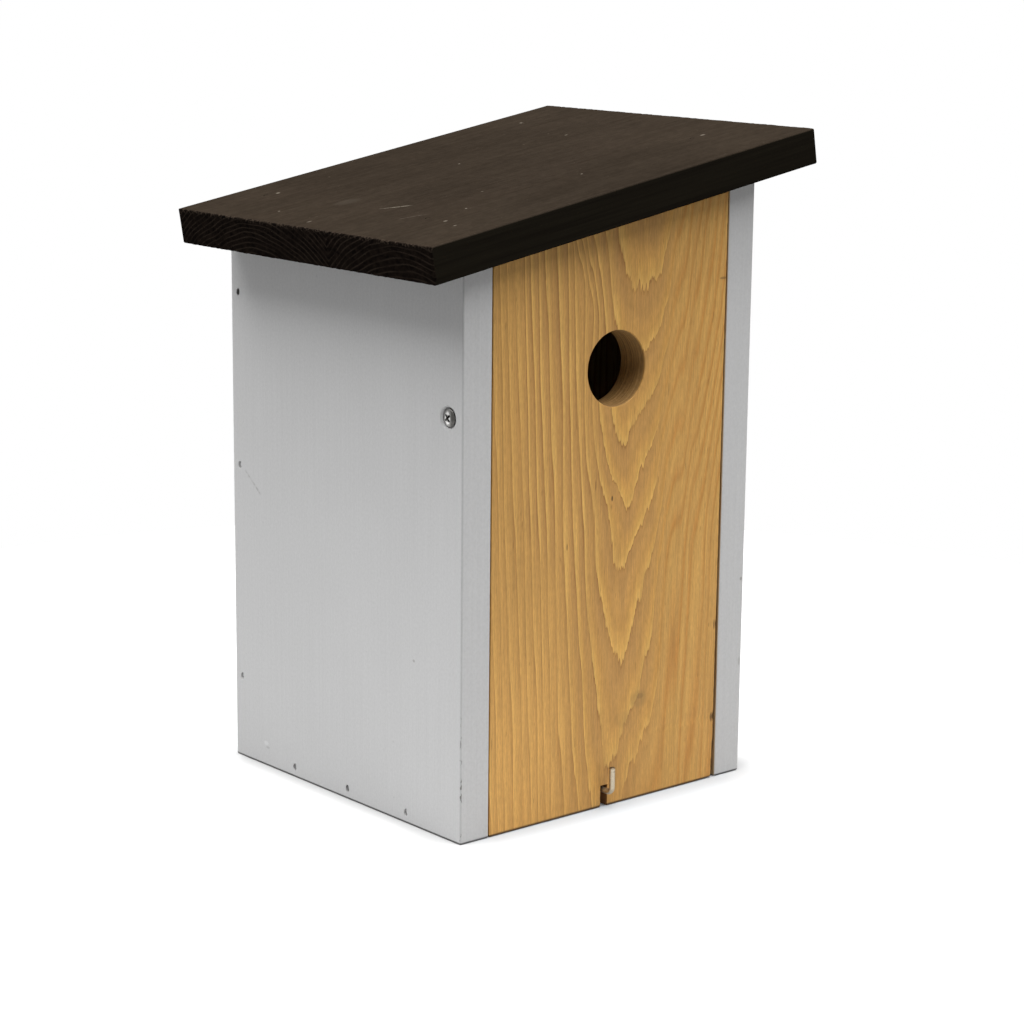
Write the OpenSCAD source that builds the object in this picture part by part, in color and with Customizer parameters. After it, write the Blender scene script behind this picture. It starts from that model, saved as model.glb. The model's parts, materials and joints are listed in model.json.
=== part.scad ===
// Nest box with a swing-out front board and a one-way sloping roof, in millimetres.
// +Z is up, the front faces -Y, and the origin is the middle of the underside.

/* [Box] */
// Width across the two side walls
box_w = 160; // [130:1:200]
// Depth from the front edges of the side walls to the back
box_d = 159.4; // [130:0.1:200]
// Height of the left wall at its outer face
low_h = 237; // [225:0.2:255]
// Height of the right wall at its outer face
high_h = 264.9; // [257:0.1:290]
// Thickness of the side walls
wall_t = 15; // [12:0.5:18]
// Thickness of the back wall
back_t = 15; // [12:0.5:18]
// Thickness of the floor board
floor_t = 15; // [13:0.5:18]
// Width that is taken off the boards' outer edges
edge_ease = 0.7; // [0.3:0.1:1.5]
// Diameter of the hole in the back wall that hangs on a screw
hang_d = 6; // [4:0.5:10]

/* [Roof] */
// Thickness of the roof board
roof_t = 15.4; // [12:0.2:20]
// Length of the roof board along its slope
roof_len = 212; // [205:1:260]
// How far the roof stands out in front of the side walls
roof_front = 13; // [5:0.5:25]

/* [Front panel] */
// Thickness of the front panel
panel_t = 15; // [12:0.5:18]
// Gap between the panel and each side wall
panel_side_gap = 1.2; // [0.8:0.1:3]
// Gap between the panel's slanted top edge and the roof
panel_top_gap = 3.5; // [2.5:0.5:8]
// Height of the panel's lower edge above the underside
panel_lift = 0.2; // [0.2:0.1:2]
// Gap between the closed panel and the floor board's front edge
panel_stop_gap = 0.3; // [0.2:0.1:1]
// Diameter of the entrance hole
hole_d = 32; // [25:1:45]
// Height of the entrance hole's centre
hole_z = 189; // [170:0.5:205]
// Sideways place of the entrance hole's centre
hole_x = 2; // [-10:0.5:10]

/* [Pivot screws] */
// Height of the pivot screws
pivot_z = 176; // [140:0.5:195]
// Distance of the pivot screws behind the front
pivot_back = 9.3; // [7:0.1:11]
// Diameter of the screw's shank
screw_d = 4; // [3:0.5:5]
// Length of the screw below the wall's face
screw_len = 40; // [30:1:50]
// Diameter of the screw's countersunk head
screw_head_d = 7.6; // [7:0.2:10]
// Depth of the head's rim below the wall's face
screw_set = 0.5; // [0.1:0.1:1]
// Height of the head's raised crown
screw_crown_h = 0.8; // [0.6:0.1:1.6]
// Radial play of the screw's shank in the side wall
screw_play = 0.2; // [0.1:0.05:0.5]
// Radial gap between the screw's head and its countersink
screw_head_gap = 0.8; // [0.4:0.1:1.2]

/* [Latch hook] */
// Diameter of the hook's wire
hook_d = 2.5; // [2:0.1:3.5]
// Height of the hook's shank
hook_z = 7.5; // [6:0.5:9]
// Sideways place of the hook's shank
hook_x = -1; // [-20:0.5:20]
// Distance from the panel's face to the middle of the hook's upright arm
hook_reach = 5; // [4:0.5:10]
// Length of the upright arm above the shank's middle
hook_arm = 11.4; // [9:0.2:16]
// Bend radius at the middle of the wire
hook_bend = 2.6; // [2:0.1:3.5]
// Depth that the hook is screwed into the floor board
hook_bite = 20; // [12:1:30]
// Radial play of the hook's shank in the floor board
hook_play = 0.1; // [0.05:0.05:0.3]
// Room beside the hook's wire in the panel's notch
notch_side_gap = 0.8; // [0.5:0.1:2]
// Room above the hook's wire in the panel's notch
notch_top_gap = 0.95; // [0.5:0.05:2]

/* [Nails] */
// Diameter of a nail
nail_d = 1.6; // [1.2:0.1:2.4]
// Length of a nail
nail_len = 35; // [25:1:42]
// Diameter of a nail's head
nail_head_d = 2.2; // [1.8:0.1:3]
// Thickness of a nail's head
nail_head_t = 0.8; // [0.5:0.1:1.5]
// Depth that a wall nail's head is set below the surface
nail_set = 1; // [0.5:0.1:2]
// Depth that a roof nail's head is set below the surface
roof_nail_set = 0.2; // [0.1:0.1:2]
// Radial play of a nail in its hole
nail_play = 0.05; // [0.02:0.01:0.2]
// Distance of the back wall's nails from the back face
back_nail_in = 5; // [4:0.2:11]
// Height of the lowest nail of the back wall
back_nail_low = 37.5; // [25:0.5:60]
// Height of the middle nail of the back wall
back_nail_mid = 134; // [100:1:160]
// Distance of the highest nail of the back wall from the low wall's top
back_nail_drop = 26.4; // [15:0.2:40]
// Height of the floor board's nails
floor_nail_z = 4.7; // [4:0.1:9]
// Distance of the foremost floor nail from the front
floor_nail_front = 36; // [25:0.5:50]
// Distance of the middle floor nail from the front
floor_nail_mid = 76.5; // [60:0.5:90]
// Distance of the hindmost floor nail from the back face
floor_nail_back = 44.5; // [25:0.5:60]
// Distance of the front roof nails from the front
roof_nail_front = 28; // [15:0.5:50]
// Distance of the rear roof nails from the back face
roof_nail_back = 20.5; // [15:0.5:50]

/* [Hidden] */
$fn = 64;

// The two sides of the box, and the overlap that lets a cut pass a face
LEFT = -1;
RIGHT = 1;
cut = 1;

// Faces of the box
front_y = -box_d / 2;
back_y = box_d / 2;
inner_w = box_w - 2 * wall_t;
slope = atan((high_h - low_h) / box_w);
middle_h = (low_h + high_h) / 2;

// The closed front panel and what holds it
panel_w = inner_w - 2 * panel_side_gap;
panel_drop = panel_top_gap / cos(slope);
pivot_y = front_y + pivot_back;
panel_back_y = front_y + panel_t;
screw_cone_h = (screw_head_d - screw_d) / 2;
floor_front_y = panel_back_y + panel_stop_gap;
floor_back_y = back_y - back_t;
notch_w = hook_d + 2 * notch_side_gap;
notch_h = hook_z + hook_d / 2 + notch_top_gap;

// Nail rows
back_nail_y = back_y - back_nail_in;
back_nail_high = low_h - back_nail_drop;
roof_nail_front_y = front_y + roof_nail_front;
roof_nail_back_y = back_y - roof_nail_back;

// Finishes
GREY_PAINT = "#b9bbbe";
BARE_WOOD = "#d9bd8b";
OILED_WOOD = "#c2924f";
DARK_STAIN = "#3a322b";
ZINC = "#b8b4ab";
NAIL_STEEL = "#6c6a68";

// Height of the roof's underside at a place across the box
function roof_under(x) = middle_h + x * tan(slope);

// A rectangle with its corners taken off
function eased_rect(a, b) = [
    [a.x + edge_ease, a.y],
    [b.x - edge_ease, a.y],
    [b.x, a.y + edge_ease],
    [b.x, b.y - edge_ease],
    [b.x - edge_ease, b.y],
    [a.x + edge_ease, b.y],
    [a.x, b.y - edge_ease],
    [a.x, a.y + edge_ease]
];

// An upright board with eased edges, and its top cut to the roof's slope
module slant_board(x0, x1, y0, y1, z0, drop = 0) {
    tall = max(low_h, high_h) + roof_t;
    intersection() {
        translate([0, y1, 0])
            rotate([90, 0, 0])
                linear_extrude(height = y1 - y0)
                    polygon([
                        [x0 + edge_ease, z0],
                        [x1 - edge_ease, z0],
                        [x1, z0 + edge_ease],
                        [x1, roof_under(x1) - drop],
                        [x0, roof_under(x0) - drop],
                        [x0, z0 + edge_ease]
                    ]);
        linear_extrude(height = tall)
            polygon(eased_rect([x0, y0], [x1, y1]));
        translate([x0, 0, 0])
            rotate([90, 0, 90])
                linear_extrude(height = x1 - x0)
                    polygon(eased_rect([y0, z0], [y1, tall]));
    }
}

// A flat board with eased edges, from one corner at the origin
module flat_board(size) {
    intersection() {
        linear_extrude(height = size.z)
            polygon(eased_rect([0, 0], [size.x, size.y]));
        translate([0, size.y, 0])
            rotate([90, 0, 0])
                linear_extrude(height = size.y)
                    polygon(eased_rect([0, 0], [size.x, size.z]));
        rotate([90, 0, 90])
            linear_extrude(height = size.x)
                polygon(eased_rect([0, 0], [size.y, size.z]));
    }
}

// Places children on the outer face of a side wall, with +Z pointing away from the box
module on_side(side, y, z) {
    translate([side * box_w / 2, y, z])
        rotate([0, side * 90, 0])
            children();
}

// Places children on the roof's sloping underside, at a place across the box
module on_slope(x = 0, y = 0) {
    translate([0, y, middle_h])
        rotate([0, -slope, 0])
            translate([x / cos(slope), 0, 0])
                children();
}

// A round nail below z = 0, which is the surface that it was driven through
module nail(set) {
    tip = 1.5 * nail_d;
    translate([0, 0, -set - nail_head_t])
        cylinder(d = nail_head_d, h = nail_head_t);
    translate([0, 0, -set - nail_len + tip])
        cylinder(d = nail_d, h = nail_len - nail_head_t - tip);
    translate([0, 0, -set - nail_len])
        cylinder(d1 = nail_d / 4, d2 = nail_d, h = tip);
}

// The hole that a nail fills, open at the surface
module nail_hole(set) {
    translate([0, 0, -set - nail_head_t - nail_play])
        cylinder(d = nail_head_d + 2 * nail_play, h = set + nail_head_t + nail_play + cut);
    translate([0, 0, -set - nail_len - nail_play])
        cylinder(d = nail_d + 2 * nail_play, h = nail_len);
}

module back_nail_holes(side) {
    for (z = [back_nail_low, back_nail_mid, back_nail_high])
        on_side(side, back_nail_y, z)
            nail_hole(nail_set);
}

module floor_nail_holes(side) {
    for (y = [front_y + floor_nail_front, front_y + floor_nail_mid, back_y - floor_nail_back])
        on_side(side, y, floor_nail_z)
            nail_hole(nail_set);
}

module roof_nail_holes(side) {
    for (y = [roof_nail_front_y, roof_nail_back_y])
        roof_nail_place(side, y)
            nail_hole(roof_nail_set);
}

// Places children on the roof's upper face, over the middle of a side wall
module roof_nail_place(side, y) {
    on_slope(side * (box_w - wall_t) / 2, y)
        translate([0, 0, roof_t])
            children();
}

// Raised countersunk head of a screw, its rim at z = 0, with a cross recess
module raised_head() {
    crown_r = (screw_head_d * screw_head_d / 4 + screw_crown_h * screw_crown_h) / (2 * screw_crown_h);
    slot_w = 0.13 * screw_head_d;
    slot_l = 0.56 * screw_head_d;
    slot_h = 0.25 * screw_head_d;
    difference() {
        union() {
            translate([0, 0, -screw_cone_h])
                cylinder(d1 = screw_d, d2 = screw_head_d, h = screw_cone_h);
            rotate_extrude()
                intersection() {
                    translate([0, screw_crown_h - crown_r])
                        circle(r = crown_r);
                    square([screw_head_d / 2, screw_crown_h]);
                }
        }
        for (turn = [45, 135])
            rotate([0, 0, turn])
                translate([-slot_l / 2, -slot_w / 2, screw_crown_h - slot_h])
                    cube([slot_l, slot_w, slot_h + cut]);
    }
}

// A pivot screw: its head turns in the side wall's countersink and its point bites the panel's edge
module pivot_screw(side) {
    tip = screw_d;
    color(ZINC)
        on_side(side, pivot_y, pivot_z) {
            translate([0, 0, -screw_set])
                raised_head();
            translate([0, 0, tip - screw_len])
                cylinder(d = screw_d, h = screw_len - tip - screw_cone_h - screw_set);
            translate([0, 0, -screw_len])
                cylinder(d1 = screw_d / 5, d2 = screw_d, h = tip);
        }
}

// The bore that a pivot screw turns in, or bites into with no play
module pivot_bore(side, play) {
    on_side(side, pivot_y, pivot_z)
        translate([0, 0, -screw_len - play])
            cylinder(d = screw_d + 2 * play, h = screw_len + play + cut);
}

// The countersink that leaves the screw's head free to turn
module countersink(side) {
    sink_d = screw_head_d + 2 * (screw_head_gap + screw_set);
    sink_h = (sink_d - screw_d) / 2;
    on_side(side, pivot_y, pivot_z)
        translate([0, 0, -sink_h])
            cylinder(d1 = screw_d, d2 = sink_d + 2 * cut, h = sink_h + cut);
}

module side_wall(side) {
    inner_x = side * inner_w / 2;
    outer_x = side * box_w / 2;
    color(GREY_PAINT)
        difference() {
            slant_board(min(inner_x, outer_x), max(inner_x, outer_x), front_y, back_y, 0);
            pivot_bore(side, screw_play);
            countersink(side);
            back_nail_holes(side);
            floor_nail_holes(side);
            roof_nail_holes(side);
        }
}

module back_wall() {
    color(GREY_PAINT)
        difference() {
            slant_board(-inner_w / 2, inner_w / 2, floor_back_y, back_y, 0);
            for (side = [LEFT, RIGHT])
                back_nail_holes(side);
            translate([hole_x, back_y + cut, hole_z])
                rotate([90, 0, 0])
                    cylinder(d = hang_d, h = back_t + 2 * cut);
        }
}

module floor_board() {
    color(BARE_WOOD)
        difference() {
            translate([-inner_w / 2, floor_front_y, 0])
                cube([inner_w, floor_back_y - floor_front_y, floor_t]);
            for (side = [LEFT, RIGHT])
                floor_nail_holes(side);
            translate([hook_x, floor_front_y + hook_bite + hook_play, hook_z])
                rotate([90, 0, 0])
                    cylinder(d = hook_d + 2 * hook_play, h = hook_bite + hook_play + cut);
        }
}

module roof_board() {
    color(DARK_STAIN)
        difference() {
            on_slope(0, front_y - roof_front)
                translate([-roof_len / 2, 0, 0])
                    flat_board([roof_len, box_d + roof_front, roof_t]);
            for (side = [LEFT, RIGHT])
                roof_nail_holes(side);
        }
}

// The swinging front, with the entrance and the notch that lets the turned hook through
module front_panel() {
    color(OILED_WOOD)
        difference() {
            slant_board(-panel_w / 2, panel_w / 2, front_y, panel_back_y, panel_lift, panel_drop);
            translate([hole_x, panel_back_y + cut, hole_z])
                rotate([90, 0, 0])
                    cylinder(d = hole_d, h = panel_t + 2 * cut);
            translate([hook_x - notch_w / 2, front_y - cut, panel_lift - cut])
                cube([notch_w, panel_t + 2 * cut, notch_h - panel_lift + cut]);
            for (side = [LEFT, RIGHT])
                pivot_bore(side, nail_play);
        }
}

// The latch: a wire screwed into the floor's front edge and bent up in front of the panel
module latch_hook() {
    tip = 1.5 * hook_d;
    ease = hook_d / 6;
    bend_y = hook_bend - hook_reach;
    shank_end_y = panel_t + panel_stop_gap + hook_bite;
    color(ZINC)
        translate([hook_x, front_y, hook_z]) {
            translate([0, bend_y, 0])
                rotate([-90, 0, 0])
                    cylinder(d = hook_d, h = shank_end_y - tip - bend_y);
            translate([0, shank_end_y - tip, 0])
                rotate([-90, 0, 0])
                    cylinder(d1 = hook_d, d2 = hook_d / 5, h = tip);
            translate([0, bend_y, hook_bend])
                rotate([180, 90, 0])
                    rotate_extrude(angle = 90)
                        translate([hook_bend, 0])
                            circle(d = hook_d);
            translate([0, -hook_reach, hook_bend])
                cylinder(d = hook_d, h = hook_arm - hook_bend - ease);
            translate([0, -hook_reach, hook_arm - ease])
                cylinder(d1 = hook_d, d2 = hook_d - 2 * ease, h = ease);
        }
}

module left_wall() { side_wall(LEFT); }
module right_wall() { side_wall(RIGHT); }
module left_pivot_screw() { pivot_screw(LEFT); }
module right_pivot_screw() { pivot_screw(RIGHT); }

// A nail through a side wall into the edge of the back wall
module back_nail(side, z) {
    color(NAIL_STEEL)
        on_side(side, back_nail_y, z)
            nail(nail_set);
}

// A nail through a side wall into the edge of the floor board
module floor_nail(side, y) {
    color(NAIL_STEEL)
        on_side(side, y, floor_nail_z)
            nail(nail_set);
}

// A nail through the roof into the top edge of a side wall
module roof_nail(side, y) {
    color(NAIL_STEEL)
        roof_nail_place(side, y)
            nail(roof_nail_set);
}

left_wall();
right_wall();
back_wall();
floor_board();
roof_board();
front_panel();
left_pivot_screw();
right_pivot_screw();
latch_hook();
back_nail(LEFT, back_nail_low);  // left_back_nail_low
back_nail(LEFT, back_nail_mid);  // left_back_nail_mid
back_nail(LEFT, back_nail_high);  // left_back_nail_high
back_nail(RIGHT, back_nail_low);  // right_back_nail_low
back_nail(RIGHT, back_nail_mid);  // right_back_nail_mid
back_nail(RIGHT, back_nail_high);  // right_back_nail_high
floor_nail(LEFT, front_y + floor_nail_front);  // left_floor_nail_front
floor_nail(LEFT, front_y + floor_nail_mid);  // left_floor_nail_mid
floor_nail(LEFT, back_y - floor_nail_back);  // left_floor_nail_back
floor_nail(RIGHT, front_y + floor_nail_front);  // right_floor_nail_front
floor_nail(RIGHT, front_y + floor_nail_mid);  // right_floor_nail_mid
floor_nail(RIGHT, back_y - floor_nail_back);  // right_floor_nail_back
roof_nail(LEFT, roof_nail_front_y);  // left_roof_nail_front
roof_nail(LEFT, roof_nail_back_y);  // left_roof_nail_back
roof_nail(RIGHT, roof_nail_front_y);  // right_roof_nail_front
roof_nail(RIGHT, roof_nail_back_y);  // right_roof_nail_back
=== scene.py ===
import json
import math

import bmesh
import bpy
from mathutils import Matrix, Vector


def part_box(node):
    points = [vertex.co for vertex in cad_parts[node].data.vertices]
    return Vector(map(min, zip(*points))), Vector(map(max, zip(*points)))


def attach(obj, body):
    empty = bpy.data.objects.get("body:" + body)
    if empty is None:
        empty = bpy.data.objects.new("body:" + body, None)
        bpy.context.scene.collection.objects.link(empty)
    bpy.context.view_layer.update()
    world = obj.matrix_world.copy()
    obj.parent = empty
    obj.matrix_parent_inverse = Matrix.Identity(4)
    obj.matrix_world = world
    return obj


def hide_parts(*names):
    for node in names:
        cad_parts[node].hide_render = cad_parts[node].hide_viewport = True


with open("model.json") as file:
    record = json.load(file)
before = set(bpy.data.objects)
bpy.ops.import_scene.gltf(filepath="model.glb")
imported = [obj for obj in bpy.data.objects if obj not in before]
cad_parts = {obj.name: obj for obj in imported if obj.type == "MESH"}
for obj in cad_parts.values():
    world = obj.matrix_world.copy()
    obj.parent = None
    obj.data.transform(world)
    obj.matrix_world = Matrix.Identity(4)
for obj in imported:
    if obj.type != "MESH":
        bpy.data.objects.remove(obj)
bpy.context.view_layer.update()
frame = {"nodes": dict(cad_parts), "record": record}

# Units and small values
MM = 0.001
HAIR = 0.01 * MM
SMOOTH_ANGLE = math.radians(40)
QUARTER_TURN = math.radians(90)
# How squarely a face has to look one way to be picked
FACING = 0.9

# Box sizes, read from the frame
LEFT_LOW, LEFT_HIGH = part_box("left_wall")
RIGHT_LOW, RIGHT_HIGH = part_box("right_wall")
ROOF_LOW, ROOF_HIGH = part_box("roof_board")
PANEL_LOW, PANEL_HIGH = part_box("front_panel")
FLOOR_LOW, FLOOR_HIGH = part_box("floor_board")
NAIL_LOW, NAIL_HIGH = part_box("left_back_nail_low")
FRONT_Y = LEFT_LOW.y
BACK_FACE_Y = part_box("back_wall")[0].y
WALL_T = LEFT_HIGH.x - LEFT_LOW.x
NAIL_LEN = NAIL_HIGH.x - NAIL_LOW.x
NAIL_HEAD_D = NAIL_HIGH.z - NAIL_LOW.z
# Long enough to go through any board
THROUGH = 3 * WALL_T

# Roof slope and the roof board's own length and thickness, from its turned box
RISE = (RIGHT_HIGH.z - LEFT_HIGH.z) / (RIGHT_HIGH.x - LEFT_HIGH.x)
SLOPE = math.atan(RISE)
ROOF_SPAN = ROOF_HIGH - ROOF_LOW
ROOF_TURN = math.cos(SLOPE) ** 2 - math.sin(SLOPE) ** 2
ROOF_LEN = (ROOF_SPAN.x * math.cos(SLOPE) - ROOF_SPAN.z * math.sin(SLOPE)) / ROOF_TURN
ROOF_T = (ROOF_SPAN.z * math.cos(SLOPE) - ROOF_SPAN.x * math.sin(SLOPE)) / ROOF_TURN
ROOF_MIDDLE = (ROOF_LOW + ROOF_HIGH) / 2
ROOF_NORMAL = Vector((-math.sin(SLOPE), 0, math.cos(SLOPE)))

# Edges of the boards
WALL_EDGE = 0.6 * MM
PANEL_EDGE = 0.35 * MM
ROOF_EDGE = 0.7 * MM
EDGE_ROUNDS = 3
FOOT_GROW = 2.2
# Roof board's slices along and across it, and how roughly its ends were sawn
ROOF_SLICE_X = 3 * MM
ROOF_SLICE_Y = 1.5 * MM
ROOF_ROUGH = 0.11 * MM
ROOF_SEED = 4
ROOF_NAIL_SEED = 10

# Front panel: cut a little out of square, so that the right gap widens towards the bottom
PANEL_TAPER = 0.4 * MM
PANEL_SPREAD = 0.6 * MM
PANEL_LEFT_SPREAD = 0.8 * MM
PANEL_SLICE = 2 * MM
PANEL_ROUGH = 0.08 * MM
PANEL_SEED = 7
# Worn lower right corner and splinters of the panel's right edge: lowest and highest place, and depth
PANEL_WEAR = ((0, 17 * MM, 0.25 * MM), (0, 9 * MM, 0.3 * MM))
PANEL_FOOT = ((9 * MM, 0.0), (4 * MM, 0.25 * MM), (0.0, 0.45 * MM))
PANEL_SPLINTERS = ((26.9 * MM, 29.9 * MM, 0.55 * MM), (69 * MM, 72 * MM, 0.25 * MM))
ENTRANCE = next(o["box_m"] for o in frame["record"]["physics"]["openings"] if o["name"] == "entrance_hole")
HOLE_X = (ENTRANCE[0][0] + ENTRANCE[1][0]) / 2
HOLE_Z = (ENTRANCE[0][2] + ENTRANCE[1][2]) / 2
HOLE_D = 32 * MM
NOTCH_X = (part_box("latch_hook")[0].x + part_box("latch_hook")[1].x) / 2
NOTCH_W = 4.1 * MM
NOTCH_H = 9.7 * MM
HOLE_SIDES = 96
HOLE_EASE = 0.25 * MM

# Countersinks and nail pockets in the walls
BORE_SIDES = 32
SINK_D = 10.2 * MM
SINK_ABOVE = MM
SINK_SIDES = 48
SINK_SOFT_D = 11.4 * MM
SINK_SOFT_DEEP = 0.22 * MM
DISH_RINGS = 96
POCKET_BELOW = 1.0 * MM
POCKET_ABOVE = 3.0 * MM
POCKET_WIDE = 1.1
POCKET_TALL = 1.5
POCKET_SIDES = 16
POCKET_RAGGED = 0.08 * MM

# Pivot screw: its shank, point and head
SCREW_SIDES = 48
SCREW_SHANK_D = 4 * MM
SCREW_PLAY = 0.2 * MM
SCREW_TIP = 4 * MM
SCREW_POINT = 0.2
SCREW_CROWN = 0.8 * MM
SCREW_RIM = 0.12 * MM
# Rings of the raised crown: width and rise
SCREW_DOME = ((0.25, 0.2), (0.5, 0.26), (0.8, 0.22), (1.0, 0.12))
# Cross recess: its turn, the half sizes of an arm and how far the arm narrows inwards
CROSS_TURN = math.radians(40)
CROSS_DEEP = 1.9
CROSS_THICK = 0.65
CROSS_LONG = 2.5
CROSS_TAPER = 0.5

# Latch hook: its bend and the steps of its dressed end, width and rise
HOOK_BEND = 2.6 * MM
HOOK_SIDES = 28
HOOK_STEPS = 12
HOOK_PLAY = 0.1 * MM
HOOK_END_DROP = 0.35 * MM
HOOK_END = ((0.25, 0.22), (0.4, 0.13))

# Front panel's grain, in millimetres: where the nested arches end, from the bottom up
ARCH_TIPS = (19, 62, 103, 129, 157, 189, 222)
ARCH_TOP = 255
# Sideways place of the arches' middle at some heights
ARCH_MIDDLE = ((0, 0), (18, 1), (62, 7), (103, 6.5), (129, 9.5), (157, 6.5), (189, 10), (222, 17), (255, 20))
ARCH_REACH = 25
# Sideways place of the line that all arches follow, and how far from it they still sway
ARCH_LINE = 8
ARCH_NEAR_LINE = (4.0, 34.0)
# How wide the arches open, and where: to the left, to the right low down and high up, near the blunt top
ARCH_OPEN_LEFT = 6.4
ARCH_OPEN_RIGHT = (5.0, 13.5)
ARCH_OPEN_HEIGHTS = (80.0, 230.0)
ARCH_CREST = (0.0, 10.0)
ARCH_BLUNT = 17
ARCH_BLUNT_HEIGHTS = (180.0, 225.0)
# Height added beside a tip, which makes it sharp: below and near the blunt top
ARCH_SHARP = (6, -1.0)
ARCH_SHARP_HEIGHTS = (170.0, 215.0)
ARCH_SHARP_NEAR = (0.0, 7.0)
ARCH_SHARP_FAR = (10.0, 26.0)
# Where the flanks stop bending and run on straight: on the left, and on the right low down and high up
ARCH_STRAIGHT_LEFT = 31
ARCH_STRAIGHT = (16, 45)
ARCH_STRAIGHT_HEIGHTS = (80.0, 200.0)
# How much more upright the lines of the left and of the lower right are, and where these parts begin
ARCH_UPRIGHT_LEFT = 0.55
ARCH_UPRIGHT = 0.6
ARCH_LEFT = (-38.0, -14.0)
ARCH_RIGHT = (12.0, 30.0)
ARCH_HALF = 110.0
# Height that the arches gain for each millimetre into the board
ARCH_DEPTH = 1.5
# Share of a ring between the lowest tip and the foot, and the height of a ring below the foot
ARCH_CUT = 0.45
ARCH_STEP = 42
# Marks on the front panel: place, half size, share and colour
PANEL_MARKS = (
    ((0.8, 134.3), (0.6, 1.5), 0.85, (60, 42, 26)),
    ((18.2, 44.5), (6.5, 5.0), 0.35, (140, 112, 66)),
    ((19.0, 45.5), (2.6, 1.6), 0.35, (116, 92, 54)),
    ((9.0, 37.0), (6.0, 4.5), 0.22, (140, 112, 66)),
    ((62.6, 221.9), (2.6, 0.7), 0.6, (104, 74, 40)),
    ((62.6, 70.0), (0.5, 3.0), 0.8, (84, 56, 28)),
    ((62.3, 28.0), (0.8, 2.8), 0.8, (84, 56, 28)),
    ((-8.6, 141.0), (0.5, 3.2), 0.6, (122, 86, 46)),
    ((-24.0, 117.0), (0.4, 1.8), 0.7, (96, 66, 36)),
)

# Roof's two staves, in millimetres: the joint, each pith's place and the width of a ring
STAVE_JOINT = -18.7
STAVE_PITH = 50
STAVE_DEEP = 62
STAVE_RING = 2.1
# Pale marks on the roof: place, half size and share
ROOF_MARKS = (
    ((-68.9, 63.9), (1.3, 1.1), 0.9),
    ((72.2, 66.5), (1.3, 1.1), 0.8),
    ((79.9, -44.7), (1.8, 1.1), 0.7),
    ((-74.3, -56.6), (1.3, 1.0), 0.7),
    ((-56.1, -47.6), (0.7, 0.6), 1.0),
    ((-77.9, -66.9), (1.2, 0.7), 0.6),
    ((-90.9, 32.8), (0.8, 0.6), 0.8),
    ((-97.8, 2.3), (1.8, 0.7), 0.6),
    ((0.6, 25.2), (0.7, 0.6), 0.9),
    ((6.0, -48.3), (0.8, 0.6), 0.9),
    ((59.8, 21.6), (1.2, 0.6), 0.7),
    ((-32.6, -29.7), (1.0, 0.6), 0.4),
    ((-67.7, 15.9), (8.0, 6.0), 0.07),
)
# Scratches on the roof: two ends, width and share
ROOF_SCRATCHES = (
    ((-71.6, -9.4), (-61.5, -18.8), 0.8, 0.55),
    ((-68.0, -13.6), (-60.5, -19.6), 0.5, 0.4),
    ((-80.6, -33.3), (-69.0, -38.8), 0.6, 0.2),
)
ROOF_MARK_TINT = (118, 110, 99)

# Paint
PAINT_GREY = (198, 198, 198)
# Painted shade inside the nail pockets, the bare and the painted nails, and the share of paint left in each
# pocket
POCKET_SHADE_GREY = (112, 110, 107)
NAIL_DARK = (34, 32, 30)
NAIL_PALE = (226, 226, 226)
NAIL_PAINT = {
    "left_back_nail_low": 1.0, "left_back_nail_mid": 0.95, "left_back_nail_high": 0.2,
    "left_floor_nail_front": 0.95, "left_floor_nail_mid": 0.6, "left_floor_nail_back": 0.8,
}
NAIL_NEAR = 3.0
NAIL_HARD = 0.9
# Marks on the left wall: depth and height, half size, share and colour
WALL_MARKS = (
    ((-48.9, 71.4), (1.0, 0.8), 0.5, (128, 126, 122)),
    # The next two: a painted highlight above and painted shade below, standing for the bump of a
    # painted-over nail
    ((56.8, 10.4), (2.2, 1.2), 0.5, (222, 222, 222)),
    ((55.6, 8.6), (1.6, 0.7), 0.35, (140, 140, 140)),
)
# A scratch on the left wall: its two ends, its width, share and colour
WALL_SCRATCH = ((71.0, 132.5), (58.8, 122.8), 0.7, 0.4, (112, 110, 106))
# Marks on the front edge of the right wall: sideways place and height, half size, share and colour
EDGE_MARKS = (
    ((78.4, 88.2), (1.0, 1.0), 0.6, (120, 118, 114)),
    ((78.6, 50.7), (0.8, 2.6), 0.4, (130, 128, 124)),
)

# Two softboxes: azimuth, elevation, size and power
LEFT_LAMP = (-105, 66, (1.8, 1.8), 49)
FRONT_LAMP = (25, 63, (1.6, 2.0), 43.2)
LAMP_FAR = 1.9
LAMP_TARGET = Vector((0, 0, 0.12))
WORLD_FILL = 0.12
# Paper floor: its colour, a painted cool tint before the panel that cancels the panel's warm reflected
# light, and the glow that keeps it white beyond the shadow
FLOOR_WHITE = (0.62, 0.62, 0.62, 1)
FLOOR_BOUNCE_CANCEL = (0.575, 0.62, 0.665, 1)
FLOOR_GLOW_NEAR = 0.02
FLOOR_GLOW_FAR = 0.5
FLOOR_GLOW_REACH = (25, 13)
FLOOR_GLOW_CORNER = 40
FLOOR_GLOW_ROUND = 15
FLOOR_R = 0.5
FLOOR_SIDES = 96

# Camera, fitted to the photograph
CAMERA_PLACE = Vector((-0.736127, FRONT_Y - 0.799049, 0.367232))
CAMERA_AZIMUTH = math.radians(-40.4854)
CAMERA_ELEVATION = math.radians(12.4143)
CAMERA_ROLL = math.radians(0.57694)
CAMERA_LENS = 93.74
CAMERA_SENSOR = 36.0
CAMERA_FAR = 50


# Modelling steps

def settle(name):
    """Names the new primitive and puts its place into its mesh."""
    piece = bpy.context.object
    piece.name = name
    piece.data.name = name
    bpy.ops.object.transform_apply(location=True, rotation=True, scale=True)
    return piece


def add_block(name, low, high):
    bpy.ops.object.select_all(action="DESELECT")
    bpy.ops.mesh.primitive_cube_add(size=1, location=(low + high) / 2, scale=high - low)
    return settle(name)


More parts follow.
